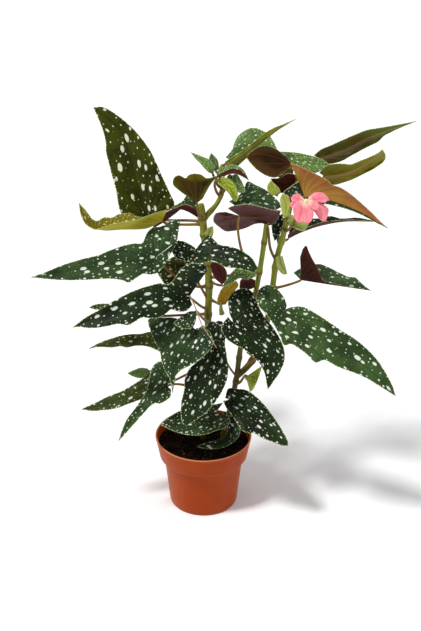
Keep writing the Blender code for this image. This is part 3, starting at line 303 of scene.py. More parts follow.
def tube(points, radii, sides):
    """Points and faces of a closed tube with rounded ends."""
    turned = (points[1] - points[0]).orthogonal().normalized()
    verts, faces = [], []
    last = len(points) - 1
    for index, point in enumerate(points):
        along = (points[min(index + 1, last)] - points[max(index - 1, 0)]).normalized()
        turned = square_to(turned, along)
        other = along.cross(turned)
        for side in range(sides):
            angle = 2 * pi * side / sides
            verts.append(point + (turned * cos(angle) + other * sin(angle)) * radii[index])
    for ring in range(last):
        for side in range(sides):
            after = (side + 1) % sides
            low, high = ring * sides, (ring + 1) * sides
            faces.append((low + side, low + after, high + after, high + side))
    for index, ahead in ((0, -1), (last, 1)):
        along = (points[index] - points[index - ahead]).normalized()
        verts.append(points[index] + along * radii[index] * 0.5)
        first = index * sides
        for side in range(sides):
            corner = (first + side, first + (side + 1) % sides, len(verts) - 1)
            faces.append(corner if ahead == 1 else corner[::-1])
    return verts, faces


def cane_axis(foot, places):
    """The axis of a cane: straight down its socket, then smoothly through the places."""
    ground = Vector((foot[0] * MM, foot[1] * MM, SOIL_TOP))
    through = [ground + Vector((0, 0, 6 * MM))] + [spot(*place) for place in places]
    points = [ground - Vector((0, 0, 12 * MM)), ground + Vector((0, 0, 2 * MM))]
    return points + smoothed(through, AXIS_STEPS * (len(through) - 1))


def branch(places):
    """The axis of a limb through spots."""
    through = [spot(*place) for place in places]
    return smoothed(through, AXIS_STEPS * (len(through) - 1))


def taper(points, thick, thin):
    count = len(points) - 1
    return [(thick + (thin - thick) * index / count) * MM for index in range(count + 1)]


def at_height(cane, height):
    """The cane's axis point, direction and radius at this height in millimetres."""
    axis, radii = cane
    for index, (lower, upper) in enumerate(zip(axis, axis[1:])):
        if lower.z <= height * MM <= upper.z:
            share = (height * MM - lower.z) / (upper.z - lower.z)
            return lower.lerp(upper, share), (upper - lower).normalized(), radii[index]
    return axis[-1], (axis[-1] - axis[-2]).normalized(), radii[-1]


def cane_skin():
    made, tree, shader = new_material("begonia_cane_skin")
    place = add_node(tree, "TexCoord").outputs["Object"]
    # Streaks some 1.5 mm wide and 20 mm long
    drawn = add_node(tree, "Mapping", {"Vector": place, "Scale": (650, 650, 50)})
    streaks = add_node(tree, "TexNoise", {"Vector": drawn, "Scale": 1, "Detail": 3})
    patches = add_node(tree, "TexNoise", {"Vector": place, "Scale": 22, "Detail": 2})
    ring = add_node(tree, "Attribute", attribute_name="joint").outputs["Fac"]
    young = add_node(tree, "Mix", {0: streaks, 6: "#66700c", 7: "#9aa62a"}, data_type="RGBA")
    # Painted shade: a darker brown copy of the streaked skin for the cane's low part
    brown_tone = add_node(tree, "Mix", {0: streaks, 6: "#332c04", 7: "#5c5410"}, data_type="RGBA")
    # A cane is painted darker and browner below 190 mm, as shade under the leaves, and is fresh green above
    # 340 mm
    level = add_node(tree, "SeparateXYZ", {"Vector": place})
    painted_shade_ramp = add_node(tree, "MapRange", {"Value": level.outputs["Z"], "From Min": 0.19, "From Max": 0.34})
    green = add_node(tree, "Mix", {0: painted_shade_ramp, 6: brown_tone, 7: young}, data_type="RGBA")
    tint = add_node(tree, "MapRange", {"Value": patches, "From Min": 0.45, "From Max": 0.75, "To Max": 0.6})
    warm = add_node(tree, "Mix", {0: tint, 6: green, 7: "#7a5a22"}, data_type="RGBA")
    scar = add_node(tree, "Mix", {0: ring, 6: warm, 7: "#5c3a1e"}, data_type="RGBA")
    bump = add_node(tree, "Bump", {"Height": streaks, "Strength": 0.4, "Distance": 0.0004})
    set_inputs(tree, shader, {
        "Base Color": scar, "Roughness": 0.45, "Normal": bump, "Specular IOR Level": 0.25,
    })
    return made


canes = {}
left = cane_axis((-1, 8), (
    (204, 405, 8), (208, 355, 8), (208, 315, 8), (209, 288, 8), (207, 258, 8), (204, 232, 8), (202, 214, 6),
    (200.3, 205, 5),
))
middle = cane_axis((24, 2), (
    (232, 400, 2), (237, 374, 2), (241, 345, 4), (248, 318, 6), (256, 290, 8), (262, 257, 8), (266, 228, 9),
    (269, 206, 9), (272, 186, 9),
))
right = branch((
    (237, 376, 2), (247, 367, 3), (257, 352, 6), (266, 325, 10), (271, 300, 12), (276, 262, 12),
    (282, 240, 10), (288, 215, 8), (294, 190, 6), (299, 172, 6),
))
fork = branch((
    (203, 222, 7), (209, 213, 8), (216, 205, 9), (221, 195, 9), (222, 184, 9), (220, 173, 9), (222, 166, 10),
))
canes["left"] = (left, taper(left, 4.0, 4.4))
canes["fork"] = (fork, taper(fork, 2.8, 2.2))
canes["middle"] = (middle, taper(middle, 3.4, 2.8))
canes["right"] = (right, taper(right, 3.9, 3.0))
JOINTS = {
    "left": (118, 164, 196, 228, 262, 300, 328, 346, 366, 388),
    "fork": (395, 416, 434),
    "middle": (104, 138, 172, 205, 240, 280, 318, 356, 390, 424),
    "right": (200, 245, 284, 322, 356, 384, 412, 436),
}
green_skin = cane_skin()


def cane_mesh(name):
    """A limb as a fine tube that swells at its joints, and how much of a joint's scar each point shows."""
    axis, radii = canes[name]
    count = max(2, int(sum((b - a).length for a, b in zip(axis, axis[1:])) / CANE_STEP))
    points = smoothed(axis, count)
    sizes, scars = [], []
    for step, point in enumerate(points):
        place = step / count * (len(radii) - 1)
        low = min(int(place), len(radii) - 2)
        size = radii[low] + (radii[low + 1] - radii[low]) * (place - low)
        off = min(abs(point.z / MM - height) for height in JOINTS[name])
        near = JOINT_SWELL * exp(-((off / JOINT_REACH) ** 2))
        wide = WIDE_SWELL * exp(-((off / WIDE_REACH) ** 2))
        sizes.append(size * (1 + (near + wide)))
        scars.append(exp(-((off / SCAR_REACH) ** 2)))
    verts, faces = tube(points, sizes, CANE_SIDES)
    marks = [scars[min(index // CANE_SIDES, count)] for index in range(len(verts))]
    return verts, faces, marks


for trunk, limb, node in (("left", "fork", "cane_left"), ("middle", "right", "cane_right")):
    halves = []
    for name in (trunk, limb):
        verts, faces, marks = cane_mesh(name)
        half_cane = add_piece(f"{name}_cane", verts, faces, [green_skin])
        held = half_cane.data.attributes.new("joint", "FLOAT", "POINT")
        held.data.foreach_set("value", marks)
        halves.append(half_cane)
    whole, limb_piece = halves
    apply_boolean(whole, limb_piece, "UNION")
    whole.data.shade_smooth()
    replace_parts(whole, node)
    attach(whole, "root")

# A leaf is one blade that grew with its stalk. The blade is thin and lopsided, with a lobe behind
# the stalk, veins that fan out from it, a finely toothed pale margin and silver spots on its
# upper side. Its underside is wine red to olive. It is 0.45 mm thick.
BLADE = 0.45 * MM
# The photograph's viewpoint, and a blade's columns from its midrib to its margin
CAMERA = Vector((0, -VIEW_DISTANCE * cos(VIEW_TILT), POT_HEIGHT + VIEW_DISTANCE * sin(VIEW_TILT)))
COLUMNS = (0.05, 0.14, 0.25, 0.37, 0.49, 0.6, 0.7, 0.79, 0.87, 0.93, 0.975, 1)
PATH_STEPS = 8
TOOTH_PITCH = 3.6 * MM
TOOTH_DEPTH = 0.55 * MM
MARGIN_STEP = 1.05 * MM
VEIN_SPREAD = radians(26)
# The midrib lies this much behind the margin, so that the side veins lean to the tip
VEIN_LAG = 1.25
# A margin that stays behind the stalk for more than this share of its length has a lobe
LOBE_END = 0.06
LEAST_LOBE = 0.1
NOTCH_LAP = 1.8 * MM
# Blades seen more edge-on than this are moved as if they were seen at this cosine
FLATTEST = 0.35
# Rows of spots fan out from this many millimetres behind the stalk, and close up by this power
FAN_FOOT = 22
FAN_POWER = 0.8
FAN_SIZE = 2.9
# A leaf of this length has spots of the plain size, and a shorter one has finer ones
PLAIN_LENGTH = 110 * MM
# Side veins curl forwards towards the tip, and the blade puffs up between them
VEIN_CURL = 0.8
PUFF = 0.45 * MM
# The margin's waves are 16 mm long, and a turn of their sine takes 2 pi of this
WAVE = 2.6 * MM
# A margin slants across its rows, so it is nearer than a row's end by this share
SLANT = 0.85


def arc_path(start, leave, arrive, end, share):
    """The point at this share of a stalk's curve."""
    rest = 1 - share
    return start * rest**3 + leave * (3 * rest**2 * share) + arrive * (3 * rest * share**2) + end * share**3


def on_sight_line(across, down, anchor, up):
    """The place that shows at this pixel and lies in the plane through the anchor that faces up."""
    ray = spot(across, down, 0) - CAMERA
    return CAMERA + ray * ((anchor - CAMERA).dot(up) / ray.dot(up))


def slide(place, up, rise):
    """The place risen this far over its blade, moved along its sight line so that it shows as before."""
    toward = (CAMERA - place).normalized()
    facing = toward.dot(up)
    if abs(facing) < FLATTEST:
        facing = FLATTEST if facing > 0 else -FLATTEST
    return place + toward * (rise / facing)


def measured(points):
    """A smooth path through the points in short steps, the share of its length at each, and its length."""
    fine = smoothed(points, (len(points) - 1) * PATH_STEPS)
    lengths = [0]
    for before, after in zip(fine, fine[1:]):
        lengths.append(lengths[-1] + (after - before).length)
    return fine, [length / lengths[-1] for length in lengths], lengths[-1]


def at_share(path, share):
    """The point at this share of a measured path's length."""
    fine, shares, _ = path
    for index in range(1, len(shares)):
        if shares[index] >= share:
            step = (share - shares[index - 1]) / max(shares[index] - shares[index - 1], 1e-9)
            return fine[index - 1].lerp(fine[index], step)
    return fine[-1]


def margin(rib, up, outline, fold):
    """A margin of a blade: its measured path, the share that its lobe takes, its hand and its normals."""
    foot = rib[0]
    chord = rib[-1] - foot
    side = up.cross(chord.normalized())
    flat = [spot(*place) if len(place) == 3 else on_sight_line(*place, foot, up) for place in outline]
    hand = 1 if sum((place - foot).dot(side) for place in flat) > 0 else -1

    def normal(share):
        angle = radians(fold[0] + (fold[1] - fold[0]) * share)
        return up * cos(angle) - side * (hand * sin(angle))

    places = []
    for place, guess in zip(outline, flat):
        share = min(max((guess - foot).dot(chord) / chord.length_squared, 0), 1)
        if len(place) == 3:
            places.append(guess)
        else:
            places.append(on_sight_line(*place, smooth_path(rib, share), normal(share)))
    # The lobes reach a little over the notch between them
    places[0] += (places[0] - places[1]).normalized() * min(NOTCH_LAP, 0.02 * chord.length)
    path = measured(places + [rib[-1]])
    least = LOBE_END * chord.length_squared
    behind = [share for point, share in zip(path[0], path[1]) if (point - foot).dot(chord) < least]
    lobe = max([0] + behind)
    return path, lobe if lobe > LEAST_LOBE else 0, hand, normal


def blade_mesh(rib, up, left, right, fold, bulge, ruffle, seed):
    """A blade's one layer of points and faces, with the numbers that its patterns are drawn by."""
    foot = rib[0]
    length = (rib[-1] - foot).length
    ahead = (rib[-1] - foot) / length
    fine_scale = (PLAIN_LENGTH / length) ** 0.35
    verts, faces, pattern, veins = [], [], [], []

    def add_point(place, flat, edge, arc):
        verts.append(place)
        r = hypot(flat.x, flat.y)
        angle = atan2(abs(flat.y), flat.x)
        drawn = FAN_SIZE * complex(flat.x / MM + FAN_FOOT, flat.y / MM) ** FAN_POWER * fine_scale
        # Each leaf lies at a place of its own in the endless pattern
        pattern.append((drawn.real + 137 * seed, drawn.imag + 59 * seed, edge / MM))
        veins.append((angle * (1 + VEIN_CURL * min(r / length, 1)) / VEIN_SPREAD, r / MM, arc / MM))
        return len(verts) - 1

    sides = [margin(rib, up, outline, fold) for outline in (left, right)]
    rows = max(14, int(max(path[2] * (1 - lobe) for path, lobe, _, _ in sides) / MARGIN_STEP))
    midrib = measured(rib)
    runs = [(row / rows) ** VEIN_LAG for row in range(rows + 1)]
    centres = [at_share(midrib, run) for run in runs]
    ribs = []
    for run, centre in zip(runs, centres):
        ribs.append(add_point(centre, Vector((run * length, 0)), length / 4, 0))
    for path, lobe, hand, normal in sides:
        lobe_rows = int(path[2] * lobe / MARGIN_STEP)
        before = None
        for row in range(-lobe_rows, rows + 1):
            body = max(0, row / rows)
            share = lobe + (1 - lobe) * body if row >= 0 else lobe * (1 + row / lobe_rows)
            up_here = normal(body)
            centre = centres[max(row, 0)]
            arc = share * path[2]
            tangent = (at_share(path, share + 0.004) - at_share(path, share - 0.004)).normalized()
            # The teeth fade to the tip and the notch, are finer on small leaves, and differ in depth
            fade = min(1, (rows - row) / 12, (row + lobe_rows) / 6, length / (80 * MM))
            uneven = 0.65 + 0.35 * sin(arc / (7 * MM) + 5 * seed)
            tooth = TOOTH_DEPTH * (((arc / TOOTH_PITCH) % 1) ** 1.5 - 0.4) * fade * uneven
            edge = at_share(path, share) + up_here.cross(tangent) * (hand * tooth)
            wide = (edge - centre).length
            current = [ribs[max(row, 0)]]
            for part in COLUMNS if row < rows else ():
                place = centre.lerp(edge, part)
                off = place - centre
                along = off.dot(ahead)
                out = max(0, off.length_squared - along**2) ** 0.5
                flat = Vector((runs[max(row, 0)] * length + along, out))
                near_edge = part**5
                r = hypot(flat.x, flat.y)
                phase = atan2(flat.y, flat.x) * (1 + VEIN_CURL * min(r / length, 1)) / VEIN_SPREAD
                puff = PUFF * min(1, length / PLAIN_LENGTH, r / (18 * MM), part * 4) * (1 - near_edge)
                rise = bulge * wide * 4 * part * (1 - part) - puff * cos(2 * pi * phase)
                rise += ruffle * MM * sin(arc / WAVE + seed) * near_edge * min(1, (rows - row) / 12)
                risen = slide(place, up_here, rise)
                to_edge = (1 - part) * wide * SLANT
                current.append(add_point(risen, Vector((flat.x, flat.y * hand)), to_edge, arc))
            current += [ribs[max(row, 0)]] * (len(COLUMNS) + 1 - len(current))
            for inner in range(len(COLUMNS) if before else 0):
                corners = (before[inner], current[inner], current[inner + 1], before[inner + 1])
                corners = tuple(dict.fromkeys(corners))
                if len(corners) > 2:
                    faces.append(corners if hand == 1 else corners[::-1])
            before = current
    return verts, faces, pattern, veins


def facing_up(rib, face):
    """The direction that the blade's upper side looks, square to its chord."""
    return square_to(Vector(face), (rib[-1] - rib[0]).normalized())


def thin_piece(name, mesh, looks, thick):
    """A sheet of this thickness around a blade's layer. The second look is its underside."""
    verts, faces, pattern, veins = mesh
    made = add_piece(name, verts, faces, looks)
    for title, values in (("pattern", pattern), ("veins", veins)):
        held = made.data.attributes.new(title, "FLOAT_VECTOR", "POINT")
        held.data.foreach_set("vector", [number for value in values for number in value])
    skin = made.modifiers.new("Thickness", "SOLIDIFY")
    skin.thickness = thick
    skin.offset = 0
    skin.material_offset = 1
    select_only(made)
    bpy.ops.object.modifier_apply(modifier=skin.name)
    return made


def leaf_surface(
    name, ground, shade, vein, spot_colour=None, speckle=1, edge="#b9c58a", rough=0.46, net=0.25, tint=None
):
    """One side of a begonia blade: waxy cells over a network of veins, with air-filled silver spots."""
    made, tree, shader = new_material(name)
    place = add_node(tree, "TexCoord").outputs["Object"]
    pattern = add_node(tree, "Attribute", attribute_name="pattern").outputs["Vector"]
    veins = add_node(tree, "Attribute", attribute_name="veins").outputs["Vector"]
    across = add_node(tree, "SeparateXYZ", {"Vector": pattern})
    along = add_node(tree, "SeparateXYZ", {"Vector": veins})
    # Clouds some 25 mm across, and cells 0.7 mm across
    clouds = add_node(tree, "TexNoise", {"Vector": place, "Scale": 40, "Detail": 4})
    cells = add_node(tree, "TexNoise", {"Vector": place, "Scale": 1400, "Detail": 1})
    cloudy = add_node(tree, "MapRange", {"Value": clouds, "From Min": 0.35, "From Max": 0.65})
    colour = add_node(tree, "Mix", {0: cloudy, 6: ground, 7: shade}, data_type="RGBA")
    if tint:
        # Light comes through the thinner outer part, in clouds some 30 mm across
        drifts = add_node(tree, "TexNoise", {"Vector": place, "Scale": 32, "Detail": 2})
        outer = add_node(tree, "MapRange", {
            "Value": across.outputs["Z"], "From Min": 1, "From Max": 14, "To Min": 0.32, "To Max": -0.12,
        })
        lit = add_node(tree, "Math", {0: drifts, 1: outer}, operation="ADD")
        through = add_node(tree, "MapRange", {"Value": lit, "From Min": 0.45, "From Max": 0.8})
        colour = add_node(tree, "Mix", {0: through, 6: colour, 7: tint}, data_type="RGBA")
    # Main veins fan out 26 degrees apart and thin down to the margin
    off = add_node(tree, "Math", {0: along.outputs["X"], 1: 0.5}, operation="PINGPONG")
    reach = add_node(tree, "Math", {0: off, 1: along.outputs["Y"]}, operation="MULTIPLY")
    main = add_node(tree, "MapRange", {
        "Value": reach, "From Min": 0.5, "From Max": 1.5, "To Min": 1, "To Max": 0,
    })
    # Small veins make a net with meshes of about 5 mm
    meshes = add_node(tree, "TexVoronoi", {
        "Vector": pattern, "Scale": 0.2,
    }, voronoi_dimensions="2D", feature="DISTANCE_TO_EDGE")
    small = add_node(tree, "MapRange", {
        "Value": meshes.outputs["Distance"], "From Min": 0.02, "From Max": 0.1, "To Min": net, "To Max": 0,
    })
    vessels = add_node(tree, "Math", {0: main, 1: small}, operation="MAXIMUM")
    colour = add_node(tree, "Mix", {0: vessels, 6: colour, 7: vein}, data_type="RGBA")
    height = vessels
    if spot_colour:
        masks = []
        # Spots up to 8 by 4 mm, which shrink towards the margin, and dots up to 3 by 2 mm that crowd there
        for length, width, least, most, middle, outer in (
            (19.0, 10.0, 0.11, 0.195, 1.0, 0.5), (7.5, 5.2, 0.03, 0.2, 0.6, 1.1),
        ):
            stretched = add_node(tree, "VectorMath", {
                0: pattern, 1: (speckle / length, speckle / width, 0),
            }, operation="MULTIPLY")
            spots = add_node(tree, "TexVoronoi", {
                "Vector": stretched, "Scale": 1, "Randomness": 0.78,
            }, voronoi_dimensions="2D")
            chance = add_node(tree, "SeparateColor", {"Color": spots.outputs["Color"]})
            radius = add_node(tree, "MapRange", {
                "Value": chance.outputs["Red"], "To Min": least, "To Max": most,
            })
            fade = add_node(tree, "MapRange", {
                "Value": across.outputs["Z"], "From Min": 1, "From Max": 9, "To Min": outer, "To Max": middle,
            })
            grown = add_node(tree, "Math", {0: radius, 1: fade}, operation="MULTIPLY")
            inside = add_node(tree, "Math", {0: grown, 1: spots.outputs["Distance"]}, operation="SUBTRACT")
            masks.append(add_node(tree, "MapRange", {"Value": inside, "From Min": -0.012, "From Max": 0.03}))
        spotted = add_node(tree, "Math", {0: masks[0], 1: masks[1]}, operation="MAXIMUM")
        silver = add_node(tree, "Math", {0: spotted, 1: 0.92}, operation="MULTIPLY")
        colour = add_node(tree, "Mix", {0: silver, 6: colour, 7: spot_colour}, data_type="RGBA")
        height = add_node(tree, "Math", {0: spotted, 1: vessels}, operation="SUBTRACT")
    # The margin is a broken pale line, 0.1 to 1 mm wide, with uneven beads some 3 mm apart
    beads = add_node(tree, "TexNoise", {
        "W": along.outputs["Z"], "Scale": 0.5, "Detail": 1,
    }, noise_dimensions="1D")
    bead = add_node(tree, "MapRange", {
        "Value": beads, "From Min": 0.42, "From Max": 0.62, "To Min": 0.1, "To Max": 1.0,
    })
    rim = add_node(tree, "Math", {0: bead, 1: across.outputs["Z"]}, operation="SUBTRACT")
    pale = add_node(tree, "MapRange", {"Value": rim, "From Min": -0.1, "From Max": 0.25, "To Max": 0.75})
    colour = add_node(tree, "Mix", {0: pale, 6: colour, 7: edge}, data_type="RGBA")
    gloss = add_node(tree, "MapRange", {"Value": clouds, "To Min": rough - 0.08, "To Max": rough + 0.1})
    grain = add_node(tree, "Math", {0: cells, 1: 0.35}, operation="MULTIPLY")
    relief = add_node(tree, "Math", {0: height, 1: grain}, operation="ADD")
    bump = add_node(tree, "Bump", {"Height": relief, "Strength": 0.5, "Distance": 0.0003})
    set_inputs(tree, shader, {
        "Base Color": colour, "Roughness": gloss, "Normal": bump, "Specular IOR Level": 0.1,
    })
    return made


def stalk_skin(name, young, brown_tone):
    """A stalk's skin: fleshy and satin, in two colours that flow into each other."""
    made, tree, shader = new_material(name)
    place = add_node(tree, "TexCoord").outputs["Object"]
    # Blotches some 6 mm across
    streaks = add_node(tree, "TexNoise", {"Vector": place, "Scale": 160, "Detail": 3})
    mixed = add_node(tree, "Mix", {0: streaks, 6: young, 7: brown_tone}, data_type="RGBA")
    bump = add_node(tree, "Bump", {"Height": streaks, "Strength": 0.3, "Distance": 0.0003})
    set_inputs(tree, shader, {
        "Base Color": mixed, "Roughness": 0.45, "Normal": bump, "Specular IOR Level": 0.25,
    })
    return made


# The upper sides: the blade's two colours, its veins, its spots, and how closely the spots stand
UPPER_SIDES = {
    "green": ("upper_dark_green", "#20321a", "#384d2a", "#1a2914", "#d9dfcf"),
    "mid": ("upper_mid_green", "#25371a", "#3d5529", "#22341a", "#d9dfcf"),
    "light": ("upper_light_green", "#30452a", "#4c663c", "#2c4026", "#dde3d3"),
    "deep": ("upper_deep_green", "#121c0a", "#243417", "#101a0a", "#d6dccc"),
    "green_olive": ("upper_dark_olive_green", "#222c0c", "#39441a", "#202c0e", "#d7dbc0"),
    "narrow": ("upper_narrow_olive", "#343e12", "#505c22", "#303c16", "#dbdfc4"),
    "olive": ("upper_lit_through", "#242800", "#3c4203", "#1c2000", "#dcdcc4", 0.8),
    "yellow": ("upper_yellow_green", "#645a04", "#827a14", "#50540a", "#dcd8a0", 1.9),
    "young": ("upper_young_green", "#4e6c2c", "#789848", "#42602a", "#d8e0c4", 1.8),
    "shoot": ("upper_grey_green", "#445c28", "#68843e", "#3c5424", "#d2dcbe", 1.6),
    "bright": ("upper_bright_green", "#6c7c08", "#98a428", "#4c6010", "#e2e2b0", 1.6),
    "dry": ("upper_dry_gold", "#967410", "#b2952e", "#7a5610"),
    "bract": ("upper_pale_bract", "#8c9a2c", "#b2bc58", "#74862a"),
}
# The smooth undersides: the blade's two colours, its veins, its margin, and light that comes through
UNDERSIDES = {
    "maroon": ("under_wine_red", "#240804", "#3c140e", "#52261a", "#8d8a4a", "#4c1816"),
    "wine": ("under_dark_wine", "#1a0300", "#2e0b00", "#481c0a", "#7d5a2a", "#3c1208"),
    "purple": ("under_grey_purple", "#34180e", "#4a2a22", "#5c3c32", "#b8bc8e", "#5c4044"),
    "brown": ("under_dark_brown", "#1e0a00", "#341b00", "#4c2c06", "#7d7a30", "#443010"),
    "cupped": ("under_cupped_brown", "#2c1c00", "#483400", "#4e4200", "#6a6810", "#5c5c04"),
    "underside": ("under_olive_brown", "#483a06", "#625210", "#6c5c16", "#98954a", "#5c5a0c"),
    "fold": ("under_folded_olive", "#565008", "#70700f", "#848424", "#98954a", "#7e8018"),
    "rising": ("under_rising_brown", "#543a0c", "#6c5818", "#78681e", "#98954a", "#5e6a2c"),
    "lit": ("under_lit_olive", "#62500a", "#7a6612", "#887618", "#a8a04a", "#74761a"),
    "orange": ("under_orange_brown", "#84561e", "#a47c36", "#a8823c", "#b8a468", "#9a5a34"),
}
SKINS = {key: leaf_surface(*look) for key, look in UPPER_SIDES.items()}
for key, (title, ground, shade, vein, edge, tint) in UNDERSIDES.items():
    SKINS[key] = leaf_surface(title, ground, shade, vein, edge=edge, rough=0.5, net=0.12, tint=tint)
# The young and the dry undersides show their net of veins
SKINS["pale"] = leaf_surface(
    "under_pale_yellow", "#7c7410", "#948c20", "#a09830", edge="#b8b060", rough=0.5, tint="#a8a438",
)
SKINS["bright_under"] = leaf_surface(
    "under_bright_green", "#74800c", "#98a024", "#a0a830", edge="#b8bc70", rough=0.5,
)
SKINS["dry_under"] = leaf_surface(
    "under_dry_gold", "#8a5614", "#ae862e", "#74440e", rough=0.5, tint="#7a3c10",
)
red_stalk = stalk_skin("stalk_red_green", "#6c6420", "#7c4626")
STALK_SIDES = 10
# A stalk's radius in millimetres, what it loses to its far end and what it gains at its foot
STALK_RADIUS = 1.75
STALK_LOSS = 0.4
STALK_FLARE = 0.8
STALK_SINK = 0.4 * MM
leaf_count = 0


def leaf(
    name, upper, under, joint, face, rib, left, right, fold=(0, 0), bulge=0.08, slack=0.35, ruffle=0.5
):
    """One leaf, its blade and stalk in one piece, which stands for the CAD node of the same name.

    joint is (cane, height in millimetres) and face is where the upper side looks. rib holds spots
    from the stalk to the tip. left and right are the margins as they show in the photograph, from
    the notch round the lobe to the tip: pixels, or spots where the half leaves its plane. fold
    raises both halves, in degrees at the foot and at the tip. bulge lifts the middle of a half, as
    a share of its width. slack is how far the stalk swings. ruffle waves the margin, in millimetres.
    """
    global leaf_count
    leaf_count += 1
    rib = [spot(*place) for place in rib]
    up = facing_up(rib, face)
    looks = [SKINS[upper], SKINS[under], red_stalk]
    mesh = blade_mesh(rib, up, left, right, fold, bulge, ruffle, leaf_count)
    made = thin_piece(f"{name}_grown", mesh, looks, BLADE)
    foot = rib[0]
    chord = (rib[-1] - foot).normalized()
    root, along, radius = at_height(canes[joint[0]], joint[1])
    away = square_to(foot - root, along)
    start = root + away * (radius - STALK_SINK)
    swing = (foot - start).length * slack
    leave = start + away * swing
    arrive = foot - (up + chord * 0.6) * swing
    steps = max(8, int((foot - start).length / (3 * MM)))
    points, sizes = [], []
    for step in range(steps + 1):
        share = step / steps
        points.append(arc_path(start, leave, arrive, foot, share))
        flare = STALK_FLARE * exp(-((share * steps / 1.3) ** 2))
        sizes.append((STALK_RADIUS - STALK_LOSS * share + flare) * MM)
    stalk = add_piece(f"{name}_stalk", *tube(points, sizes, STALK_SIDES), looks)
    for polygon in stalk.data.polygons:
        polygon.material_index = 2
    select_only(made, stalk)
    bpy.ops.object.join()
    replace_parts(made, name)
    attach(made, "root")


# The leaves on the left of the plant, from the tall one at the top to the low ones over the rim,
# with the young ones at the fork's top. They grow on the left cane and its fork, and lean out.
leaf(
    "leaf_tall", "olive", "underside", ("left", 382), face=(-0.2, -0.8, 0.5),
    rib=[(146, 217, 52), (139, 190, 64), (131, 160, 77), (120, 130, 89), (93.5, 107.6, 96)],
    left=[
        (137, 220), (127, 217), (121, 213), (118, 203), (116, 190), (112, 176), (109, 164), (106, 152),
        (105.5, 141), (102, 128), (97.5, 117),
    ],
    right=[
        (156, 215), (167, 211), (174.5, 204.5), (169, 191), (162, 176), (156, 162), (150, 150),
        (142.5, 139.5), (134, 129.5), (124, 120.5), (112, 111.5), (102, 106.8),
    ],
    fold=(10, 10), ruffle=0.8, slack=0.2,
)
leaf(
    "leaf_yellow_curled", "yellow", "pale", ("left", 380), face=(0.1, -0.35, 0.93),
    rib=[(162, 221, 4), (146, 228.5, 0), (122, 229.5, -6), (101, 230, -10), (87, 221, -12), (79, 203, -14)],
    left=[
        (166, 210, 0), (158, 212, -6), (148, 215.5, -10), (137, 219.5, -13), (124, 222, -15),
        (112, 224, -16), (103, 227, -16), (95, 229.5, -15), (86, 224.5, -15), (82.5, 219, -15),
        (79.8, 211, -15),
    ],
    right=[
        (153, 219, 7), (145, 217.5, 10), (136, 216, 12), (130, 213, 13), (119, 214, 11), (112, 217.5, 8),
        (104, 217.5, 4), (97, 221, -5), (91.5, 218, -9), (86, 210.5, -13),
    ],
    bulge=0.03, slack=0.15, ruffle=1,
)
leaf(
    "leaf_strip", "green", "maroon", ("left", 388), face=(0, -0.3, 0.95),
    rib=[
        (199.5, 219, 16), (191, 213, 18), (184, 207.8, 20), (174, 214.5, 24), (164, 222, 28),
        (152.5, 228.5, 30),
    ],
    left=[
        (199.5, 212, 10), (192, 206.5, 10), (184, 204.5, 12), (174, 208.5, 16), (164, 213.5, 20),
        (156, 220.5, 25),
    ],
    right=[
        (199, 205, 23), (193, 198, 26), (187, 195.5, 28), (182, 201.5, 29), (175, 205.5, 30),
        (168, 211, 31), (158, 220.5, 31),
    ],
    bulge=0.03, slack=0.2,
)
leaf(
    "leaf_long_upper", "green", "maroon", ("left", 300), face=(-0.1, -0.72, 0.65),
    rib=[(154, 259, -14), (125, 262, -21), (90, 267.5, -32), (60, 272.5, -41), (31, 277.3, -48)],
    left=[
        (178.5, 241, -8), (171, 253, -14), (166, 263, -20), (158, 272.5, -24), (150, 274.5, -26),
        (143, 273.8), (136, 278), (129, 282.5), (121, 280), (108, 278.7), (90, 279.7), (65, 280.2),
        (47, 279),
    ],
    right=[
        (177.5, 238.6, -7.5), (178.5, 231, -3), (180, 220.5, 3), (176, 219.3, 3), (169, 221.8, 2),
        (162, 226.2, 1), (152, 228, -1), (146.5, 234, -4), (142, 243, -9), (134, 243.4), (122, 246),
        (110, 250.3), (97, 255.5), (80, 259.7), (62, 265.3), (45, 272.3),
    ],
    fold=(8, 8), ruffle=0.7,
)
leaf(
    "leaf_behind_saddle", "olive", "underside", ("left", 318), face=(-0.1, -0.5, 0.85),
    rib=[(192, 264, 20), (176, 268, 21), (157, 272, 22)],
    left=[(190, 274), (180, 276), (174, 281), (166, 284.5), (161, 279)],
    right=[(188, 258), (176, 256), (165, 262)],
)
leaf(
    "leaf_beside_saddle", "deep", "maroon", ("left", 336), face=(-0.1, -0.8, 0.6),
    rib=[(194, 256, -2), (183, 252, -4), (170.5, 249.5, -6)],
    left=[(191, 262), (183, 260.5), (176, 258)],
    right=[(195, 247.5), (188, 243.3), (181, 240.8), (173.5, 242.5)],
)
leaf(
    "leaf_long_second", "deep", "maroon", ("left", 272), face=(-0.05, -0.7, 0.7),
    rib=[
        (189, 297, -25), (171, 296, -36), (150, 298.5, -45), (128, 304, -52), (100, 316, -60),
        (72.5, 327.5, -66),
    ],
    left=[
        (191.5, 306), (186, 311), (178, 311.5), (171, 309.5), (166, 313.5), (158, 318), (150, 318.3),
        (142, 317.6), (135, 321.5), (128, 325.2), (118, 324), (105, 326.7), (90, 328.3), (80, 326.8),
    ],
    right=[
        (207, 268.5, -23), (205, 264.8, -25), (198, 263.5, -28), (188, 264, -30), (180, 270, -30),
        (174, 279, -31), (168, 284.5, -31), (160, 283.3, -35), (150, 285.5, -39), (140, 288.5, -42),
        (130, 292.5, -46), (120, 297.5, -50), (110, 303, -53), (98, 310.5, -57), (87, 316.5, -61),
        (80, 321.7, -64),
    ],
    fold=(4, 4), ruffle=0.7, slack=0.15,
)
leaf(
    "leaf_small_behind", "green_olive", "maroon", ("left", 262), face=(0, -0.4, 0.9),
    rib=[(124, 312, 4), (106, 307, 2), (89, 307.5, 0)],
    left=[(122, 318), (112, 314.5), (100, 310), (94, 309.5)],
    right=[(121, 306), (110, 303.8), (100, 303.8), (94, 305)],
    slack=0.15,
)
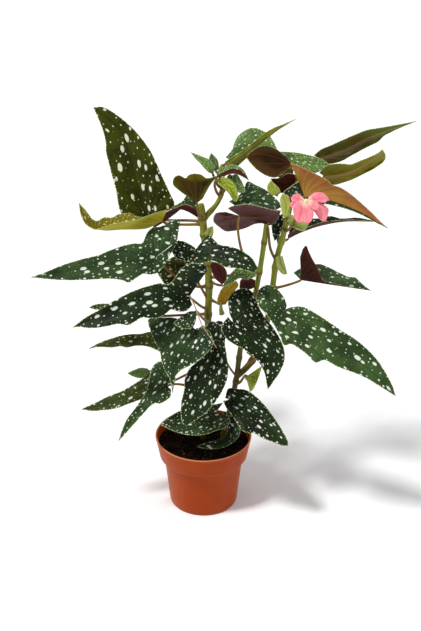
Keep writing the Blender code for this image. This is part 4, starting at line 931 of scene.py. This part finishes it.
leaf(
    "leaf_pale_edge", "green", "maroon", ("left", 256), face=(0, -0.75, 0.65),
    rib=[(196, 311, -34), (186, 319, -42), (173, 323.5, -50)],
    left=[(196, 320), (192.5, 327.5), (185, 329), (177.5, 326.5)],
    right=[(189, 311.5), (181, 316.5), (175.5, 321)],
    ruffle=1, slack=0.15,
)
leaf(
    "leaf_narrow_olive", "narrow", "underside", ("left", 228), face=(0, -0.4, 0.9),
    rib=[(161, 343, 4), (140, 340.3, 0), (115, 342.5, -3), (88.5, 348.6, -6)],
    left=[
        (159, 351.5), (152, 348), (143, 345.8), (134, 346), (127, 347.6), (120, 346.2), (112, 347.5),
        (100, 347),
    ],
    right=[(160, 334), (151, 331.8), (141, 333.8), (130, 334.3), (120, 336), (110, 339), (100, 342.5)],
    ruffle=0.7, slack=0.15,
)
leaf(
    "leaf_low_upper", "green_olive", "maroon", ("left", 186), face=(-0.1, -0.6, 0.8),
    rib=[(161, 383, -4), (140, 390, -12), (112, 402, -22), (81.5, 409.3, -30)],
    left=[(158, 391), (147, 397), (138, 400.5), (127, 404.5), (115, 408.7), (102, 410.3), (92, 411)],
    right=[
        (160, 374), (151, 371), (143, 378), (132, 385.3), (121, 391.5), (109, 396), (97, 402), (88, 406),
    ],
    ruffle=0.7,
)
leaf(
    "leaf_low_down", "mid", "maroon", ("left", 164), face=(-0.25, -0.75, 0.6),
    rib=[(167, 386, -26), (153, 395, -34), (138, 411, -44), (118.5, 441, -54)],
    left=[
        (171, 391), (170.5, 396.5), (166, 400.5), (160, 403.7), (155, 403.3), (148, 408.5), (140, 417.5),
        (131, 427.5), (124, 435.5),
    ],
    right=[
        (170, 378), (166, 369.5), (162, 361.8), (156, 363), (151, 370), (149, 380), (146, 391), (141, 400),
        (134, 410), (127, 419), (122, 430),
    ],
    fold=(12, 6), ruffle=0.6,
)
leaf(
    "leaf_pale_small", "young", "underside", ("left", 196), face=(0, -0.4, 0.9),
    rib=[(150, 371, 16), (140, 372.8, 14), (127.5, 373.3, 12)],
    left=[(148, 376.5), (143, 378), (138, 378), (132, 376)],
    right=[(147, 368.5), (141, 367.8), (134, 370)],
)
leaf(
    "leaf_cupped", "green", "cupped", ("left", 391), face=(0.1, 0.92, 0.3),
    rib=[(197, 203, -8), (195.5, 189, -9), (194, 173.6, -9)],
    left=[
        (203, 198, -7), (209, 187, -8), (216, 176.5, -10), (211, 177.8, -11), (206, 178, -12),
        (201, 174.6, -9),
    ],
    right=[
        (188, 197, -9), (177, 188.7, -12), (173, 184, -14), (174, 178, -15), (179, 175.3, -14),
        (185, 178.3, -11), (189, 175, -8),
    ],
    slack=0.2, ruffle=0.7,
)
leaf(
    "leaf_shoot_left", "young", "underside", ("fork", 434), face=(-0.2, -0.6, 0.75),
    rib=[(213, 174, -2), (203, 161.5, -4), (190.5, 152.3, -6)],
    left=[(208, 172), (201, 164.5), (194.5, 157.5)],
    right=[(215, 167), (210, 160), (203, 156.8), (196, 154)],
)
leaf(
    "leaf_shoot_top", "young", "underside", ("fork", 440), face=(0.2, -0.7, 0.7),
    rib=[(216, 171, 15), (214, 162, 16), (211, 152.8, 17)],
    left=[(212.5, 170), (210.3, 165), (209, 158)],
    right=[(219, 168.5), (218, 161), (215, 156.5)],
)
leaf(
    "leaf_shoot_right", "shoot", "maroon", ("fork", 426), face=(0, -0.5, 0.85),
    rib=[(217, 177, -3), (225, 171.5, -5), (234, 169, -8), (242, 172, -10), (249, 180.5, -12)],
    left=[(217, 171), (224, 167), (231, 164.5), (239, 166.5), (245, 172)],
    right=[(222, 177.5), (229, 174.5), (236, 174), (242, 176.5)],
)
leaf(
    "leaf_shoot_bright", "bright", "bright_under", ("fork", 416), face=(0.2, -0.6, 0.75),
    rib=[(218, 180, -13), (227, 186, -16), (233, 193, -20), (237.5, 200.5, -24)],
    left=[(223, 176.5), (231, 180.5), (236, 188), (238.5, 196)],
    right=[(218, 183.5), (223.5, 188), (229, 194), (234, 201)],
    fold=(25, 25),
)
leaf(
    "leaf_shoot_mottled", "shoot", "underside", ("fork", 421), face=(0.1, -0.8, 0.6),
    rib=[(231, 176, -6), (236, 183, -9), (241, 193, -13)],
    left=[(237, 173.5), (241, 180), (244.5, 187.5), (245, 191.5)],
    right=[(228.5, 179), (231, 186), (235, 191.5)],
    fold=(20, 20),
)
leaf(
    "leaf_spotted_left", "shoot", "maroon", ("fork", 449), face=(-0.1, -0.75, 0.65),
    rib=[(230, 160, 35), (243, 153, 38), (260, 149, 40), (277, 148.5, 42)],
    left=[
        (226, 156.5), (232, 150), (234.5, 142.5), (238, 136), (245, 130.3), (253, 127.8), (261, 130),
        (268, 134), (273, 140.5),
    ],
    right=[(231, 164.5), (240, 161), (252, 156.5), (263, 153), (271, 151)],
    ruffle=0.7,
)
leaf(
    "leaf_long_folded", "olive", "fold", ("fork", 438), face=(-0.1, 0.9, 0.4),
    rib=[(227, 165, 9), (245, 151.5, 14), (268, 134.5, 18), (296, 118.8, 22)],
    left=[(232, 170), (239, 165), (248, 156.5), (258, 146), (268, 137.8), (280, 128.8), (289, 123.3)],
    right=[(226, 161), (231, 158), (240, 152.5), (252, 143.5), (262, 135.3), (273, 128.3), (284, 124)],
    fold=(25, 10), bulge=0.1,
)

# The leaves in the middle hang over the pot and its soil, on short stalks. Three of them show
# their maroon or purple undersides, and a dry bract stands among them.
leaf(
    "leaf_saddle", "deep", "maroon", ("left", 328), face=(0.05, -0.6, 0.8),
    rib=[(194, 256, -30), (212, 254, -36), (236, 258, -46), (258, 268, -56)],
    left=[
        (195, 250), (200, 244), (205, 237.8), (209, 234.8), (214, 239.5), (220, 244.8), (229, 246.3),
        (238, 249), (246, 253.3), (253, 259.5),
    ],
    right=[
        (188, 261.5), (197, 263.8), (206, 262.3), (213, 260.8), (220, 263.7), (226, 267.3), (236, 268.3),
        (246, 270.5), (254, 272.5),
    ],
    fold=(10, -12), ruffle=0.9,
)
leaf(
    "leaf_centre_left", "green", "maroon", ("left", 240), face=(-0.15, -0.7, 0.7),
    rib=[(196, 330, -38), (185, 349, -49), (174, 371, -60), (172.5, 393, -68)],
    left=[
        (204, 326), (211, 334), (213, 345), (207, 353), (199, 360), (190, 365.7), (182, 369.7),
        (176.5, 375), (174.5, 384),
    ],
    right=[
        (187, 322), (175, 318), (163, 317.5), (152, 318), (147.8, 321), (151, 332), (155, 342),
        (159.5, 350), (161.5, 361), (165, 371), (170, 379.5),
    ],
    fold=(6, 6), ruffle=0.9, slack=0.15,
)
leaf(
    "leaf_hanging", "deep", "maroon", ("left", 222), face=(-0.05, -0.88, 0.45),
    rib=[(214, 348, -32), (208, 372, -48), (199, 398, -62), (187, 425.5, -76)],
    left=[
        (215, 322.5), (219.5, 320.5), (224, 324), (226.5, 331), (225, 342), (226.5, 354), (228.3, 367),
        (227, 379.5), (222, 391.5), (215, 402.5), (206, 412.5), (196, 420),
    ],
    right=[
        (213, 321.5), (209, 322), (205.5, 328), (204.5, 340), (206, 352.5), (198, 361.5), (190, 368),
        (185, 378), (184, 390), (181.3, 402), (180.8, 414), (182.3, 423),
    ],
    fold=(6, 6), ruffle=0.8,
)
leaf(
    "leaf_centre_right", "deep", "maroon", ("middle", 240), face=(0.1, -0.75, 0.62),
    rib=[(234, 324, -30), (249, 337, -37), (264, 357, -48), (268, 389.5, -62)],
    left=[
        (229.5, 312), (228.5, 299), (236, 290.5), (246, 288.3), (254, 294), (258, 305), (264, 316),
        (272, 326), (279, 337), (284, 349), (284.3, 361), (279, 373.5), (272.5, 383),
    ],
    right=[
        (227, 318), (221, 327), (225, 337), (233, 343.7), (243, 348.7), (252, 356), (260, 364),
        (265, 374.5), (266.5, 383),
    ],
    fold=(8, 8), ruffle=0.9,
)
leaf(
    "leaf_low_green", "bright", "bright_under", ("middle", 172), face=(0.3, -0.8, 0.5),
    rib=[(247, 376, -14), (252, 381, -18), (249.8, 391.8, -24)],
    left=[(262, 366), (259.5, 375), (256, 384), (252.7, 390)],
    right=[(243, 377.5), (246.5, 380.5), (248.2, 386)],
)
leaf(
    "leaf_over_rim", "deep", "maroon", ("middle", 138), face=(0.2, -0.65, 0.72),
    rib=[(230, 400, -26), (248, 411, -38), (268, 427, -55), (287.5, 446, -73)],
    left=[
        (225.5, 396.5), (228.5, 388.5), (237, 389), (246, 390), (254, 395), (262, 402.3), (270, 412),
        (278, 423.5), (284, 433.5), (288, 441.5),
    ],
    right=[
        (223.5, 402), (227, 409), (233, 416.5), (238, 425), (243, 431), (248, 433), (255, 433.7),
        (263, 438.5), (272, 441.7), (281, 445.3),
    ],
    fold=(8, 8), ruffle=0.8,
)
leaf(
    "leaf_over_soil", "green", "maroon", ("left", 118), face=(0, -0.5, 0.87),
    rib=[(214, 415, -22), (196, 421, -28), (178, 424, -33), (160.5, 424.7, -38)],
    left=[
        (226, 412), (230, 420), (226, 427.5), (216, 430.7), (207, 434), (198, 435.3), (188, 435),
        (178, 432.6), (170, 429.6), (164.5, 426.8),
    ],
    right=[(222, 403), (212, 405), (200, 408), (188, 409), (178, 411.7), (170, 416.5), (164, 421)],
    fold=(4, 4), ruffle=0.7,
)
leaf(
    "leaf_on_soil", "green", "deep", ("middle", 104), face=(0, -0.6, 0.75),
    rib=[(232, 415, -10), (233.5, 428, -15), (228.5, 440, -21), (214, 445.3, -24), (196.5, 446.5, -26)],
    left=[(238, 420), (240.5, 430), (237.5, 438.5), (231, 444), (222, 448), (210, 449.3), (202, 448.3)],
    right=[(227, 421), (227.5, 431), (222.5, 438), (213, 441.3), (204, 443.3)],
    ruffle=0.7,
)
leaf(
    "leaf_folded_purple", "green", "purple", ("middle", 318), face=(0, 0.85, 0.45),
    rib=[(240, 216, -18), (256, 217.5, -18), (270, 216, -16), (281, 210.5, -14)],
    left=[
        (224, 212, -12), (215.5, 213.5, -10), (213.3, 221), (219, 227), (226, 231.3), (236, 230.5),
        (246, 228), (254, 224.3), (262, 223.3), (270, 225.3), (277, 220.5),
    ],
    right=[(228, 208, -20), (233, 205.8), (238, 205), (247, 204), (257, 205.5), (266, 208), (274, 209.7)],
    fold=(10, 20), slack=0.2,
)
leaf(
    "leaf_behind_folded", "light", "maroon", ("middle", 390), face=(0, -0.9, 0.4),
    rib=[(235, 205.5, -6), (256, 201, -6), (281, 207.5, -8)],
    left=[
        (229.5, 201), (239, 195.5), (244.5, 187), (248, 181.3), (256, 185), (266, 190), (274, 196.7),
        (279.5, 202.5),
    ],
    right=[(238, 209), (250, 209), (262, 210), (272, 211)],
    slack=0.15,
)
leaf(
    "leaf_small_maroon", "green", "maroon", ("left", 306), face=(0.4, 0.8, 0.35),
    rib=[(222, 284.5, -8), (219, 273, -9), (212, 261.5, -10)],
    left=[(226.5, 280.5), (227, 273), (224, 267), (218, 263)],
    right=[(215, 278.5), (212, 272.5), (210, 266)],
    slack=0.15,
)
leaf(
    "leaf_small_wine", "green", "maroon", ("middle", 270), face=(-0.2, 0.85, 0.4),
    rib=[(255, 287, 0), (247, 283, -1), (239.5, 286.5, -2)],
    left=[(255, 280), (249, 277.8), (241, 279.5)],
    right=[(251, 289), (245, 289.3), (240, 288.5)],
)
leaf(
    "leaf_speckled_small", "shoot", "underside", ("left", 312), face=(0.1, -0.6, 0.75),
    rib=[(256, 270, -20), (243, 273, -20), (232, 279, -20), (221.5, 287.5, -18)],
    left=[(255, 277), (247, 279.5), (239, 278.5), (231, 283.5)],
    right=[(249, 266.5), (240, 266.5), (233.5, 270.5), (227, 279)],
    ruffle=1, slack=0.15,
)
leaf(
    "bract_dry", "dry", "dry_under", ("left", 282), face=(-0.2, -0.7, 0.6),
    rib=[(221, 305, -2), (226, 294, -4), (236.5, 281, -8)],
    left=[(217, 302), (218.5, 295), (222.5, 288), (230, 283)],
    right=[(226, 304), (229, 299), (234, 292), (238.5, 285.5)],
    fold=(12, 5), slack=0.25,
)

# The leaves on the right grow on the right cane and the middle one. The upper ones are seen from
# below, so that they show brown, olive and orange undersides.
leaf(
    "leaf_big_right", "mid", "maroon", ("right", 284), face=(0.1, -0.65, 0.75),
    rib=[(282, 315, -52), (312, 331, -63), (345, 352, -77), (372, 372, -89), (395.5, 396, -98)],
    left=[
        (285, 310), (291, 307.3), (303, 307), (315, 313), (329, 322), (342, 331), (355, 339), (367, 349),
        (378, 361), (387, 375), (393, 387),
    ],
    right=[
        (283, 311, -50), (286.5, 307, -46), (285, 300, -42), (279, 291, -37), (270, 285, -35),
        (262, 287, -37), (256.7, 294, -42), (257.5, 304, -48), (265, 313, -52), (272, 322, -56),
        (279, 334, -61), (284, 345, -65), (291, 344), (299, 348.5), (308, 355.5), (315.5, 362.6),
        (325, 360.3), (338, 367), (352, 372), (366, 378), (380, 386.5),
    ],
    fold=(6, 6), ruffle=0.8,
)
leaf(
    "leaf_small_folded", "light", "wine", ("right", 296), face=(0.05, -0.2, 1),
    rib=[(301, 280, 2), (318, 282.7, 1), (342, 286.3, -2), (371, 290.6, -6)],
    left=[
        (294.5, 272, 12), (303, 267, 17), (312, 264.7, 19), (321, 264.3, 20), (330, 268, 18),
        (341, 273.5, 14), (349, 277, 11), (355, 277.3, 9), (363, 284.5, 2),
    ],
    right=[
        (300.5, 256, -7), (303, 248.7, -8), (306.5, 245.8, -8), (309, 252, -7), (313, 260, -5),
        (318, 269, -3), (321, 277, -2), (326, 281.8, -1), (340, 284.8, -4), (355, 288.3, -6),
    ],
    bulge=0.04, slack=0.1,
)
leaf(
    "leaf_dark_brown", "green", "brown", ("middle", 424), face=(0.2, 0.9, 0.1),
    rib=[(291, 163, 1), (275, 157, -3), (260, 154, -6), (246, 156.8, -9)],
    left=[(284, 155), (277, 149.5), (268, 145.8), (259, 146.5), (251, 151.5)],
    right=[
        (290, 168, -3), (283, 174, -7), (275, 177.5, -11), (266, 175.5, -13), (257, 169.7, -13),
        (250, 162.5, -11),
    ],
    fold=(10, 25), slack=0.16,
)
leaf(
    "leaf_inner_brown", "deep", "maroon", ("right", 424), face=(0.1, -0.9, 0.3),
    rib=[(290, 170, 3), (285, 171, 5), (277, 175, 7)],
    left=[(292, 176), (286, 177.5), (280, 178)],
    right=[(291, 166), (286, 166.3), (280.5, 170)],
    slack=0.45,
)
leaf(
    "leaf_red_brown", "green", "wine", ("right", 404), face=(0.2, 0.9, 0.1),
    rib=[(296, 182, -3), (286, 183, -5), (270.5, 178.5, -8)],
    left=[(294, 174), (287, 173.5), (279, 178), (274, 178.5)],
    right=[(288, 191), (281, 193), (275, 187)],
)
leaf(
    "leaf_spotted_top", "shoot", "maroon", ("right", 436), face=(0, -0.6, 0.8),
    rib=[(286, 156.5, 24), (300, 160.5, 23), (315, 164, 21), (329.5, 164.3, 20)],
    left=[(281, 151.7), (290, 152), (300, 153.2), (310, 155.5), (318, 157.6), (325, 161)],
    right=[(287, 161.5), (297, 166), (306, 170), (315, 173), (322, 170), (327, 166.5)],
    ruffle=0.7,
)
leaf(
    "leaf_pointing_up", "green", "rising", ("right", 438), face=(-0.2, 0.85, 0.45),
    rib=[(319, 158, 36), (345, 149, 34), (374, 135, 31), (417, 121, 28)],
    left=[
        (322, 162.5), (330, 163.7), (341, 161.3), (353, 154.7), (366, 147.7), (378, 141.7), (384, 136),
        (394, 130.7), (407, 125),
    ],
    right=[
        (315, 154.5), (321, 149.5), (331, 145.3), (343, 139.8), (355, 134.6), (367, 130), (380, 127.8),
        (397, 124.8),
    ],
    fold=(14, 14), bulge=0.1, slack=0.12,
)
leaf(
    "leaf_olive_below", "green", "lit", ("right", 424), face=(-0.1, 0.85, 0.5),
    rib=[(324, 176, 12), (345, 173, 10), (366, 163.5, 7), (382.5, 149.3, 4)],
    left=[
        (325.5, 181.5), (333.5, 184.8), (342, 183), (353, 179.2), (364, 173.8), (375, 168), (384, 161),
        (385.5, 155),
    ],
    right=[
        (320, 172), (327, 165.5), (336, 163.8), (344, 163.8), (351, 164.3), (360, 160.8), (370, 156.8),
        (378, 153),
    ],
    fold=(12, 18),
)
leaf(
    "leaf_orange_brown", "green", "orange", ("right", 412), face=(0.1, 0.92, 0.35),
    rib=[(305, 197, -14), (328, 200, -18), (358, 211, -24), (388.5, 228.7, -30)],
    left=[
        (297, 182, -12), (290, 187, -12), (283.5, 192.7, -12), (291, 198, -13), (301, 203), (313, 205.3),
        (326, 204.3), (340, 207.2), (353, 211.3), (365, 216.5), (377, 223),
    ],
    right=[
        (292, 163.5), (299, 166), (308, 170), (318, 175), (327, 180), (333, 185), (340, 187.3),
        (350, 193.5), (360, 202), (370, 211), (380, 221),
    ],
    fold=(14, 6),
)
leaf(
    "leaf_between_canes", "deep", "maroon", ("right", 352), face=(0.1, -0.8, 0.6),
    rib=[(282, 216, 20), (278, 227, 18), (274.5, 241, 16)],
    left=[(285, 221), (282, 229), (278.5, 237)],
    right=[(277, 213.5), (272.5, 219), (271.5, 226), (272.5, 234)],
)
leaf(
    "bract_upper", "bract", "bract", ("middle", 423), face=(-0.1, -0.8, 0.6),
    rib=[(277, 195.5, -14), (274, 189, -16), (270.5, 180.5, -17)],
    left=[(272, 195), (267.5, 190), (267.5, 185)],
    right=[(280.5, 193), (279.5, 189), (275, 184)],
)
leaf(
    "bract_lower", "bract", "bract", ("right", 388), face=(-0.1, -0.8, 0.6),
    rib=[(285, 219, -14), (286.5, 206, -16), (282.5, 193.5, -18)],
    left=[(282, 214), (281, 206), (280, 199)],
    right=[(289, 213), (290.5, 205), (288.5, 197.5)],
)
leaf(
    "leaf_behind_cane", "deep", "maroon", ("right", 356), face=(0, -0.3, 0.95),
    rib=[(288, 239, 20), (300, 233, 21), (320, 226, 24), (345, 221.6, 28), (377, 221.7, 32)],
    left=[
        (291, 228, 32), (304, 219, 38), (318, 218.5, 38), (330, 216.2, 38), (342, 218.6, 37),
        (356, 217.7, 36), (367, 219.3, 34),
    ],
    right=[
        (289, 234, 14), (295, 230, 13), (306, 227.5, 14), (320, 222.8, 17), (335, 220.4, 20),
        (352, 219.9, 25), (365, 220.6, 29),
    ],
    bulge=0.03, slack=0.2,
)

# Sheaths are the pointed papery scales that wrapped each young leaf, and stay at its joint.
# They are pale green and thin, and dry to straw.
SHEATH = 0.5 * MM


def soft_tissue(name, light, dark):
    """Thin soft tissue, in two colours that flow into each other over some 5 mm."""
    made, tree, shader = new_material(name)
    place = add_node(tree, "TexCoord").outputs["Object"]
    lines = add_node(tree, "TexNoise", {"Vector": place, "Scale": 220, "Detail": 4})
    mixed = add_node(tree, "Mix", {0: lines, 6: dark, 7: light}, data_type="RGBA")
    bump = add_node(tree, "Bump", {"Height": lines, "Strength": 0.4, "Distance": 0.0003})
    set_inputs(tree, shader, {"Base Color": mixed, "Roughness": 0.5, "Normal": bump})
    return made


pale_green = soft_tissue("sheath_pale_green", "#a9b25c", "#6f8030")


def sheath(name, seed, face, rib, left, right):
    """A pointed folded scale from a cane's joint to its tip, with its margins as they show."""
    rib = [spot(*place) for place in rib]
    up = facing_up(rib, face)
    mesh = blade_mesh(rib, up, left, right, fold=(20, 20), bulge=0.15, ruffle=0.3, seed=seed)
    made = thin_piece(f"{name}_scale", mesh, [pale_green], SHEATH)
    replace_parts(made, name)
    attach(made, "root")


sheath(
    "sheath_hanging", 1, (0, -0.9, 0.4), rib=[(279, 255, 3), (281.5, 265, 2), (287.5, 274, 3)],
    left=[(283, 257), (285, 265)], right=[(275.5, 258), (277.5, 268), (282.5, 274)],
)
sheath(
    "sheath_left", 2, (0, -0.9, 0.4), rib=[(207, 238, 2), (210, 232, 1), (213, 226, 2)],
    left=[(212, 238), (213.5, 232)], right=[(204.5, 233), (208, 228)],
)
sheath(
    "bract_flower", 3, (0, -0.9, 0.4), rib=[(286, 222, 0), (296, 225, -8), (304.5, 231.5, -16)],
    left=[(288, 213), (299, 218), (309, 221.5)], right=[(288, 225), (297, 229.5)],
)

# Small stalks of fallen leaves, a bud and one dry strand hang between the leaves. The stalks are
# fleshy and red-brown, the bud is soft and green, and the strand is a dead flower stalk.
STRAND_STEPS = 6
dry_strand = stalk_skin("dead_stalk_tan", "#8c7254", "#b49c7e")


def strand(name, look, thick, thin, places):
    """A thin round stalk through spots, from its thick end to its thin one."""
    through = [spot(*place) for place in places]
    points = smoothed(through, STRAND_STEPS * (len(through) - 1))
    made = add_piece(name, *tube(points, taper(points, thick, thin), STALK_SIDES), [look])
    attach(made, "root")


strand("dead_stalk", dry_strand, 0.9, 0.5, (
    (190, 296, -27), (194, 304, -46), (198, 315, -56), (202, 325, -60), (208, 334, -63), (216.5, 348, -66),
))
strand("bare_stalk_upper", red_stalk, 1.8, 1.5, (
    (278, 262, 9), (274, 257, 7), (270, 247, 7), (268, 228, 5),
))
strand("bare_stalk_left", red_stalk, 1.6, 1.3, (
    (207, 298, 6), (203, 291, 4), (199, 284, 2), (196, 277, 0),
))
strand("bare_stalk_low", red_stalk, 1.5, 1.2, (
    (239, 373, 2), (247, 365, 0), (254, 359, 0), (247, 352, 2),
))
strand("bare_stalk_short", red_stalk, 1.5, 1.2, ((238, 378, 2), (232, 371, -2), (227, 363, -4)))
strand("green_bud", pale_green, 3.4, 1.2, ((222, 314, -5), (221, 309, -5), (221, 302, -3)))

# The flower stands on its own stalk from the right cane: soft ruffled petals round a pale yellow
# heart. A petal is 0.4 mm thick and coral pink, paler at its foot and deeper along its veins.
PETAL_SEAT = 1.2 * MM
PETAL = 0.4 * MM
FLOWER_HEIGHT = 372
FLOWER_CENTRE = (306, 201, -42)
FLOWER_STALK_STEPS = 18
FLOWER_STALK_SIDES = 12
HEART_RADIUS = 2.7 * MM


def petal_skin():
    made, tree, shader = new_material("begonia_petal")
    place = add_node(tree, "TexCoord").outputs["Object"]
    run = add_node(tree, "Attribute", attribute_name="veins").outputs["Vector"]
    parts = add_node(tree, "SeparateXYZ", {"Vector": run})
    soft = add_node(tree, "TexNoise", {"Vector": place, "Scale": 160, "Detail": 3})
    # Veins fan out from the petal's foot, to about 1.2 mm apart near its tip
    stretched = add_node(tree, "Mapping", {"Vector": run, "Scale": (4, 0.1, 0)})
    veins = add_node(tree, "TexNoise", {"Vector": stretched, "Scale": 1, "Detail": 2})
    vein = add_node(tree, "MapRange", {"Value": veins, "From Min": 0.5, "From Max": 0.7})
    base = add_node(tree, "Mix", {0: soft, 6: "#ee6a80", 7: "#f6a0a8"}, data_type="RGBA")
    lined = add_node(tree, "Math", {0: vein, 1: 0.55}, operation="MULTIPLY")
    deeper = add_node(tree, "Mix", {0: lined, 6: base, 7: "#d8405a"}, data_type="RGBA")
    tip = add_node(tree, "MapRange", {"Value": parts.outputs["Y"], "From Min": 1.5, "From Max": 8})
    shown = add_node(tree, "Mix", {0: tip, 6: "#f8d2bc", 7: deeper}, data_type="RGBA")
    bump = add_node(tree, "Bump", {"Height": veins, "Strength": 0.5, "Distance": 0.0004})
    set_inputs(tree, shader, {
        "Base Color": shown, "Roughness": 0.5, "Normal": bump,
        "Subsurface Weight": 0.15, "Subsurface Scale": 0.002,
    })
    return made


pink = petal_skin()
flower_centre = spot(*FLOWER_CENTRE)


def petal(name, seed, tip, face, left, right, ruffle=2):
    """A ruffled petal from the flower's centre to its tip, with its margins as they show."""
    tip_place = spot(*tip)
    foot = flower_centre + (tip_place - flower_centre).normalized() * PETAL_SEAT
    rib = [foot, foot.lerp(tip_place, 0.5), tip_place]
    up = facing_up(rib, face)
    mesh = blade_mesh(rib, up, left, right, fold=(10, 10), bulge=0.12, ruffle=ruffle, seed=seed)
    made = thin_piece(name, mesh, [pink], PETAL)
    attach(made, "root")
    return made


petal(
    "petal_front_ruffled", 5, (308.5, 223.5, -54), (0, -0.8, 0.5),
    left=[(303, 203), (302, 210), (303, 217), (304.5, 222)],
    right=[(310, 203), (313, 208), (313.5, 214), (312, 220)],
)
petal(
    "petal_inner_ruffled", 6, (318, 209.5, -50), (0.2, -0.8, 0.5),
    left=[(311, 199.5), (316, 201), (319.5, 205)], right=[(308.5, 204), (311.5, 208), (315, 210)],
)
petal(
    "petal_curled_ruffled", 7, (290.5, 206.5, -40), (-0.2, -0.8, 0.5),
    left=[(300, 201.5), (294, 201), (290, 203)], right=[(300, 203.5), (296, 206), (292, 207.5)],
)
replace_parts(petal(
    "petal_lower_left_ruffled", 1, (299, 222.5, -50), (-0.1, -0.8, 0.5),
    left=[(300, 199.5), (294.5, 200.5), (293, 205), (293.5, 213), (295.5, 220)],
    right=[(307, 204.5), (309, 209), (308, 216), (304, 221.5)],
), "petal_lower_left")
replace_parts(petal(
    "petal_lower_right_ruffled", 2, (323, 221.5, -46), (0.2, -0.8, 0.5),
    left=[(313, 203), (320, 203), (328, 208), (328, 214), (326, 220)],
    right=[(311, 207), (314, 211), (317, 215.5), (320, 219.5)],
), "petal_lower_right")
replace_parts(petal(
    "petal_upper_right_ruffled", 3, (329, 199, -40), (0.1, -0.7, 0.6),
    left=[(309, 197), (313, 193.5), (318, 192), (324, 193.5)],
    right=[(312, 200.5), (318, 202), (325, 202.3)],
), "petal_upper_right")
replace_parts(petal(
    "petal_left_ruffled", 4, (291, 198, -40), (-0.1, -0.8, 0.5),
    left=[(302, 196.5), (298, 193.5), (293, 195)],
    right=[(301, 200), (296, 201.5), (292, 201)],
), "petal_left")

root, along, radius = at_height(canes["right"], FLOWER_HEIGHT)
away = square_to(flower_centre - root, along)
start = root + away * (radius - 0.3 * MM)
leave = start + away * 14 * MM
arrive = flower_centre + Vector((0, 14 * MM, -6 * MM))
shares = [step / FLOWER_STALK_STEPS for step in range(FLOWER_STALK_STEPS + 1)]
stalk_points = [arc_path(start, leave, arrive, flower_centre, share) for share in shares]
stalk_mesh = tube(stalk_points, taper(stalk_points, 1.5, 1.3), FLOWER_STALK_SIDES)
flower_stalk = add_piece("flower_stalk_fine", *stalk_mesh, [red_stalk])
bpy.ops.mesh.primitive_ico_sphere_add(subdivisions=3, radius=HEART_RADIUS, location=flower_centre)
heart = bpy.context.object
heart.data.materials.append(soft_tissue("flower_heart", "#f4dcc0", "#d8c480"))
heart.data.shade_smooth()
select_only(flower_stalk, heart)
bpy.ops.object.join()
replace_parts(flower_stalk, "flower_stalk")
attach(flower_stalk, "root")

# The setting: a plain white sweep, a soft lamp high on the left and the photograph's viewpoint.
FLOOR_REACH = 30
paper, tree, shader = new_material("white_paper_sweep")
fibres = add_node(tree, "TexNoise", {
    "Vector": add_node(tree, "TexCoord").outputs["Object"], "Scale": 900, "Detail": 2,
})
tone = add_node(tree, "Mix", {0: fibres, 6: "#f4f4f4", 7: "#fafafa"}, data_type="RGBA")
set_inputs(tree, shader, {"Base Color": tone, "Roughness": 0.9})
corners = [(x * FLOOR_REACH, y * FLOOR_REACH, 0) for x, y in ((-1, -1), (1, -1), (1, 1), (-1, 1))]
floor = add_piece("floor", corners, [(0, 1, 2, 3)], [paper])

# Large soft boxes stand on both sides, the right one a little stronger
world = bpy.data.worlds.new("studio")
bpy.context.scene.world = world
world.use_nodes = True
tree = world.node_tree
toward_light = add_node(tree, "SeparateXYZ", {"Vector": add_node(tree, "TexCoord").outputs["Generated"]})
rightward = toward_light.outputs["X"]
sideways = add_node(tree, "Math", {0: rightward}, operation="ABSOLUTE")
uneven = add_node(tree, "Math", {0: rightward, 1: 0.12, 2: sideways}, operation="MULTIPLY_ADD")
strength = add_node(tree, "MapRange", {"Value": uneven, "To Min": 0.26, "To Max": 1.05}, clamp=False)
set_inputs(tree, tree.nodes["Background"], {"Color": (1, 1, 1, 1), "Strength": strength})
# The lamp hangs high on the left, a little in front, and is wide so that the shadows are soft
key = bpy.data.lights.new("key_lamp", "SUN")
key.energy = 2.4
key.angle = radians(9)
key_lamp = bpy.data.objects.new("key_lamp", key)
key_lamp.rotation_euler = Vector((0.42, 0.31, -1)).to_track_quat("-Z", "Y").to_euler()
bpy.context.scene.collection.objects.link(key_lamp)

# The camera looks at the pot's axis at the height of its rim, and its shift frames the photograph
SENSOR = 36
PHOTO_WIDTH = 421
PHOTO_HEIGHT = 631
camera_data = bpy.data.cameras.new("camera")
camera = bpy.data.objects.new("camera", camera_data)
toward = Vector((0, -cos(VIEW_TILT), sin(VIEW_TILT)))
camera.location = Vector((0, 0, POT_HEIGHT)) + toward * VIEW_DISTANCE
camera.rotation_euler = (-toward).to_track_quat("-Z", "Y").to_euler()
camera_data.sensor_width = SENSOR
camera_data.lens = SENSOR * (VIEW_DISTANCE / PIXEL) / PHOTO_HEIGHT
camera_data.shift_x = (PHOTO_WIDTH / 2 - AXIS_PIXEL) / PHOTO_HEIGHT
camera_data.shift_y = (RIM_PIXEL - PHOTO_HEIGHT / 2) / PHOTO_HEIGHT
camera_data.clip_start = 0.05
camera_data.clip_end = 50
bpy.context.scene.collection.objects.link(camera)
bpy.context.scene.camera = camera
bpy.context.scene.view_settings.view_transform = "Standard"
